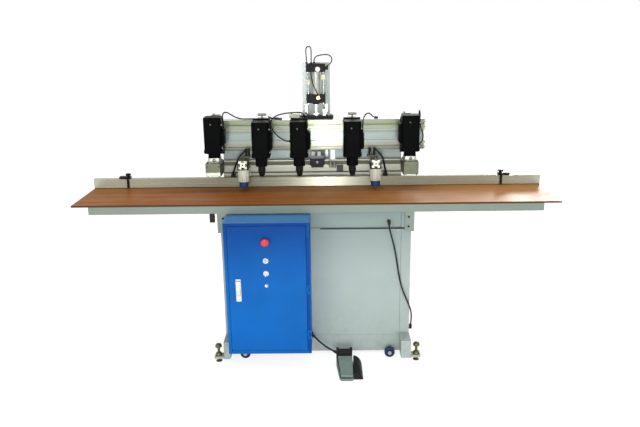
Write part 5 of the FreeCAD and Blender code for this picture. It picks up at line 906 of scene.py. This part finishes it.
def choose_gear_case(middle, size, face):
    if is_small(size, 10.0):
        return "black_screw"
    if size.x < 20:                                   # the collar's boss
        return "black_metal"
    if size.x < 70:                                   # the neck collar
        return "collar_silver"
    if face.normal.x * middle.x < -FACING:            # faces toward the machine's middle get painted shade
        return "case_dark"
    # the thin cover on the left head's case gets a painted highlight, a bright reflection
    left_cover = size.z < 25 and middle.x < 0
    return "case_bright" if left_cover else "case_silver"


def choose_spindle(middle, size, face):
    return "black_metal" if size.z > 50 else "drill"  # the chuck and shaft, or the bit


def finish_of_nodes():
    """A finish, or the chooser of one, for every node but the cords."""
    table = {
        "base_frame": choose_base_frame,
        "base_panels": choose_screwed("enamel"),
        "levelling_feet": "olive",
        "table_frame": choose_screwed("enamel_rail", "black_screw"),
        "table_board": choose_board,
        "fence": choose_fence,
        "column": choose_screwed("enamel_column", "screw", 22.0),
        "guide_rails": "rail_steel",
        "guide_blocks": "steel",
        "feed_beam": choose_feed_beam,
        "push_plate": choose_push_plate,
        "piston_rod": "chrome",
        "feed_cylinder": choose_cylinder,
        "clamp_frame": choose_clamp_frame,
        "clamp_cylinders": "rib_cream",
        "air_fittings": choose_air,
        "control_box": choose_box,
        "control_gear": choose_gear,
        "box_door": choose_door,
        "door_handle": "chrome",
        "estop_button": "red",
        "start_button": "start_pale",
        "key_switch": "chrome",
        "toggle_switch": "chrome",
        "pedal_base": choose_pedal,
        "pedal_treadle": "green",
    }
    for side in ("left", "right"):
        table["stop_" + side] = "black_metal"
        table["clamp_pad_" + side] = choose_pad
        for head in (1, 5):
            table["head_%d_outlet_%s" % (head, side)] = "steel"
    for head in (1, 2, 3, 4, 5):
        table["head_%d_carriage" % head] = choose_carriage
        table["head_%d_motor" % head] = choose_motor
    for head in (1, 5):
        table["head_%d_drive_shaft" % head] = "steel"
        table["head_%d_gear_case" % head] = choose_gear_case
    for head in (2, 3, 4):
        table["head_%d_spindle" % head] = choose_spindle
    for head in (2, 4):
        table["head_%d_lock_knob" % head] = "knob_grey"
    for number in (1, 2, 3, 4):
        table["wheel_%d" % number] = "wheel"
    return table


# ---- edge strip -------------------------------------------------------------
PANEL_FACE = 0.015           # the front panel's face, back from the table's front edge
STRIP_X = (0.021, 0.447)
STRIP_Z = 0.6883
STRIP_HALF = 0.0034          # half its height
STRIP_THICK = 0.003
STRIP_ENDS = ((0.0, 0.4), (0.0012, 0.82), (0.003, 1.0))      # place from an end, and fullness
STRIP_STEPS = 10


def add_edge_strip(finishes):
    """Half-round black strip along the top of the right front panel, where a dark line runs under
    the top rail, rounded at its ends.
    """
    bm = bmesh.new()
    left, right = STRIP_X
    rings = []
    for x, share in ([(left + inset, share) for inset, share in STRIP_ENDS]
                     + [(right - inset, share) for inset, share in reversed(STRIP_ENDS)]):
        ring = []
        for step in range(STRIP_STEPS + 1):
            angle = math.pi * step / STRIP_STEPS
            y = PANEL_FACE - STRIP_THICK * share * math.sin(angle)
            z = STRIP_Z + STRIP_HALF * share * math.cos(angle)
            ring.append(bm.verts.new(place(x, y, z)))
        rings.append(ring)
    skin(bm, rings)
    flat = {vertex for ring in rings for vertex in (ring[0], ring[-1])}
    for face in bm.faces:
        face.smooth = len(face.verts) == 4 and not flat.issuperset(face.verts)
    strip = add_object("edge_strip", mesh_of(bm, "edge_strip"))
    strip.data.materials.append(finishes["hose"])
    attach(strip, "machine")


# ---- floor, world and lights ------------------------------------------------
FLOOR_RADIUS = 60.0
FLOOR_SIDES = 96
FLOOR_TONES = ((0.88, 0.88, 0.88, 1.0), (0.9, 0.9, 0.9, 1.0))
FLOOR_GLOW = 1.34
GLOW_SHARE = 0.6
ROOM_LIGHT = ((0.97, 0.985, 1.0, 1.0), 0.62)      # colour and strength that lights the machine
ROOM_SEEN = ((1.0, 1.0, 1.0, 1.0), 1.0)           # and that the eye sees behind it

# Name, place, aim, width and height, power and colour.
LAMPS = (
    ("key", (-2.6, -3.6, 2.0), (0.0, 0.0, 0.8), (2.2, 1.8), 42.0, (1.0, 0.99, 0.97)),
    ("fill", (2.8, -3.2, 1.6), (0.0, 0.0, 0.8), (2.2, 2.0), 26.0, (0.96, 0.98, 1.0)),
    ("front", (0.06, -4.2, 1.0), (0.03, 0.2, 1.0), (0.3, 0.5), 42.0, (1.0, 1.0, 1.0)),
    ("low", (-0.1, -2.5, 0.25), (0.0, -0.1, 0.35), (2.0, 0.3), 9.0, (1.0, 1.0, 1.0)),
    ("top", (0.3, 0.6, 4.2), (0.0, 0.1, 0.9), (3.0, 2.0), 40.0, (1.0, 1.0, 1.0)),
    ("rear", (0.6, 4.0, 2.4), (0.0, 0.2, 0.8), (2.6, 2.0), 50.0, (1.0, 1.0, 1.0)),
    ("glare", (2.3, 3.55, 1.72), (1.15, 0.0, 0.82), (0.7, 0.5), 55.0, (1.0, 1.0, 1.0)),
)


def seen_directly(nodes):
    """The light path's outputs, and whether the eye or a gloss sees the place."""
    path = nodes.add("ShaderNodeLightPath").outputs
    return path, nodes.combined("MAXIMUM", path["Is Camera Ray"], path["Is Glossy Ray"])


def add_floor():
    """A wide pale floor, white to the eye, that still takes the machine's shadow."""
    bm = bmesh.new()
    bmesh.ops.create_circle(bm, cap_ends=True, segments=FLOOR_SIDES, radius=FLOOR_RADIUS)
    floor = add_object("floor_plane", mesh_of(bm, "floor_plane"))
    s = Shader("floor_pale", roughness=0.9, specular=0.0)
    s.finish(s.mixed(s.spread(s.noise(60.0, 4.0, 0.6)), *FLOOR_TONES))
    seen = seen_directly(s)[1]
    glow = s.add("ShaderNodeEmission", {"Strength": FLOOR_GLOW})
    lit = s.mixed_shader(GLOW_SHARE, s.surface, glow)
    both = s.mixed_shader(seen, s.surface, lit)
    s.feed(s.tree.nodes["Material Output"].inputs["Surface"], both.outputs[0])
    floor.data.materials.append(s.material)


def add_world():
    """An even pale surround, shown white behind the machine and in its gloss."""
    world = bpy.data.worlds.new("surround")
    world.use_nodes = True
    world.node_tree.nodes.clear()
    nodes = Nodes(world.node_tree)
    path, seen = seen_directly(nodes)
    seen = nodes.combined("MAXIMUM", seen, path["Is Transmission Ray"])
    light, shown = [nodes.add("ShaderNodeBackground", {"Color": colour, "Strength": strength})
                    for colour, strength in (ROOM_LIGHT, ROOM_SEEN)]
    both = nodes.mixed_shader(seen, light, shown)
    nodes.add("ShaderNodeOutputWorld", {"Surface": both.outputs[0]})
    bpy.context.scene.world = world


def add_lamps():
    """Large soft lamps, each aimed at a point."""
    for name, at, aim, size, power, colour in LAMPS:
        data = bpy.data.lights.new(name, "AREA")
        data.shape = "RECTANGLE"
        data.size, data.size_y = size
        data.energy = power
        data.color = colour
        turn = (Vector(aim) - Vector(at)).to_track_quat("-Z", "Y").to_matrix().to_4x4()
        add_object(name, data).matrix_world = Matrix.Translation(at) @ turn


# ---- the scene --------------------------------------------------------------
add_camera()
bpy.context.scene.view_settings.view_transform = "Standard"
FINISHES = make_finishes()
add_cords(FINISHES)
for node_name, node_finish in sorted(finish_of_nodes().items(), key=lambda row: row[0]):
    dress(node_name, node_finish, FINISHES)
add_edge_strip(FINISHES)
add_floor()
add_world()
add_lamps()
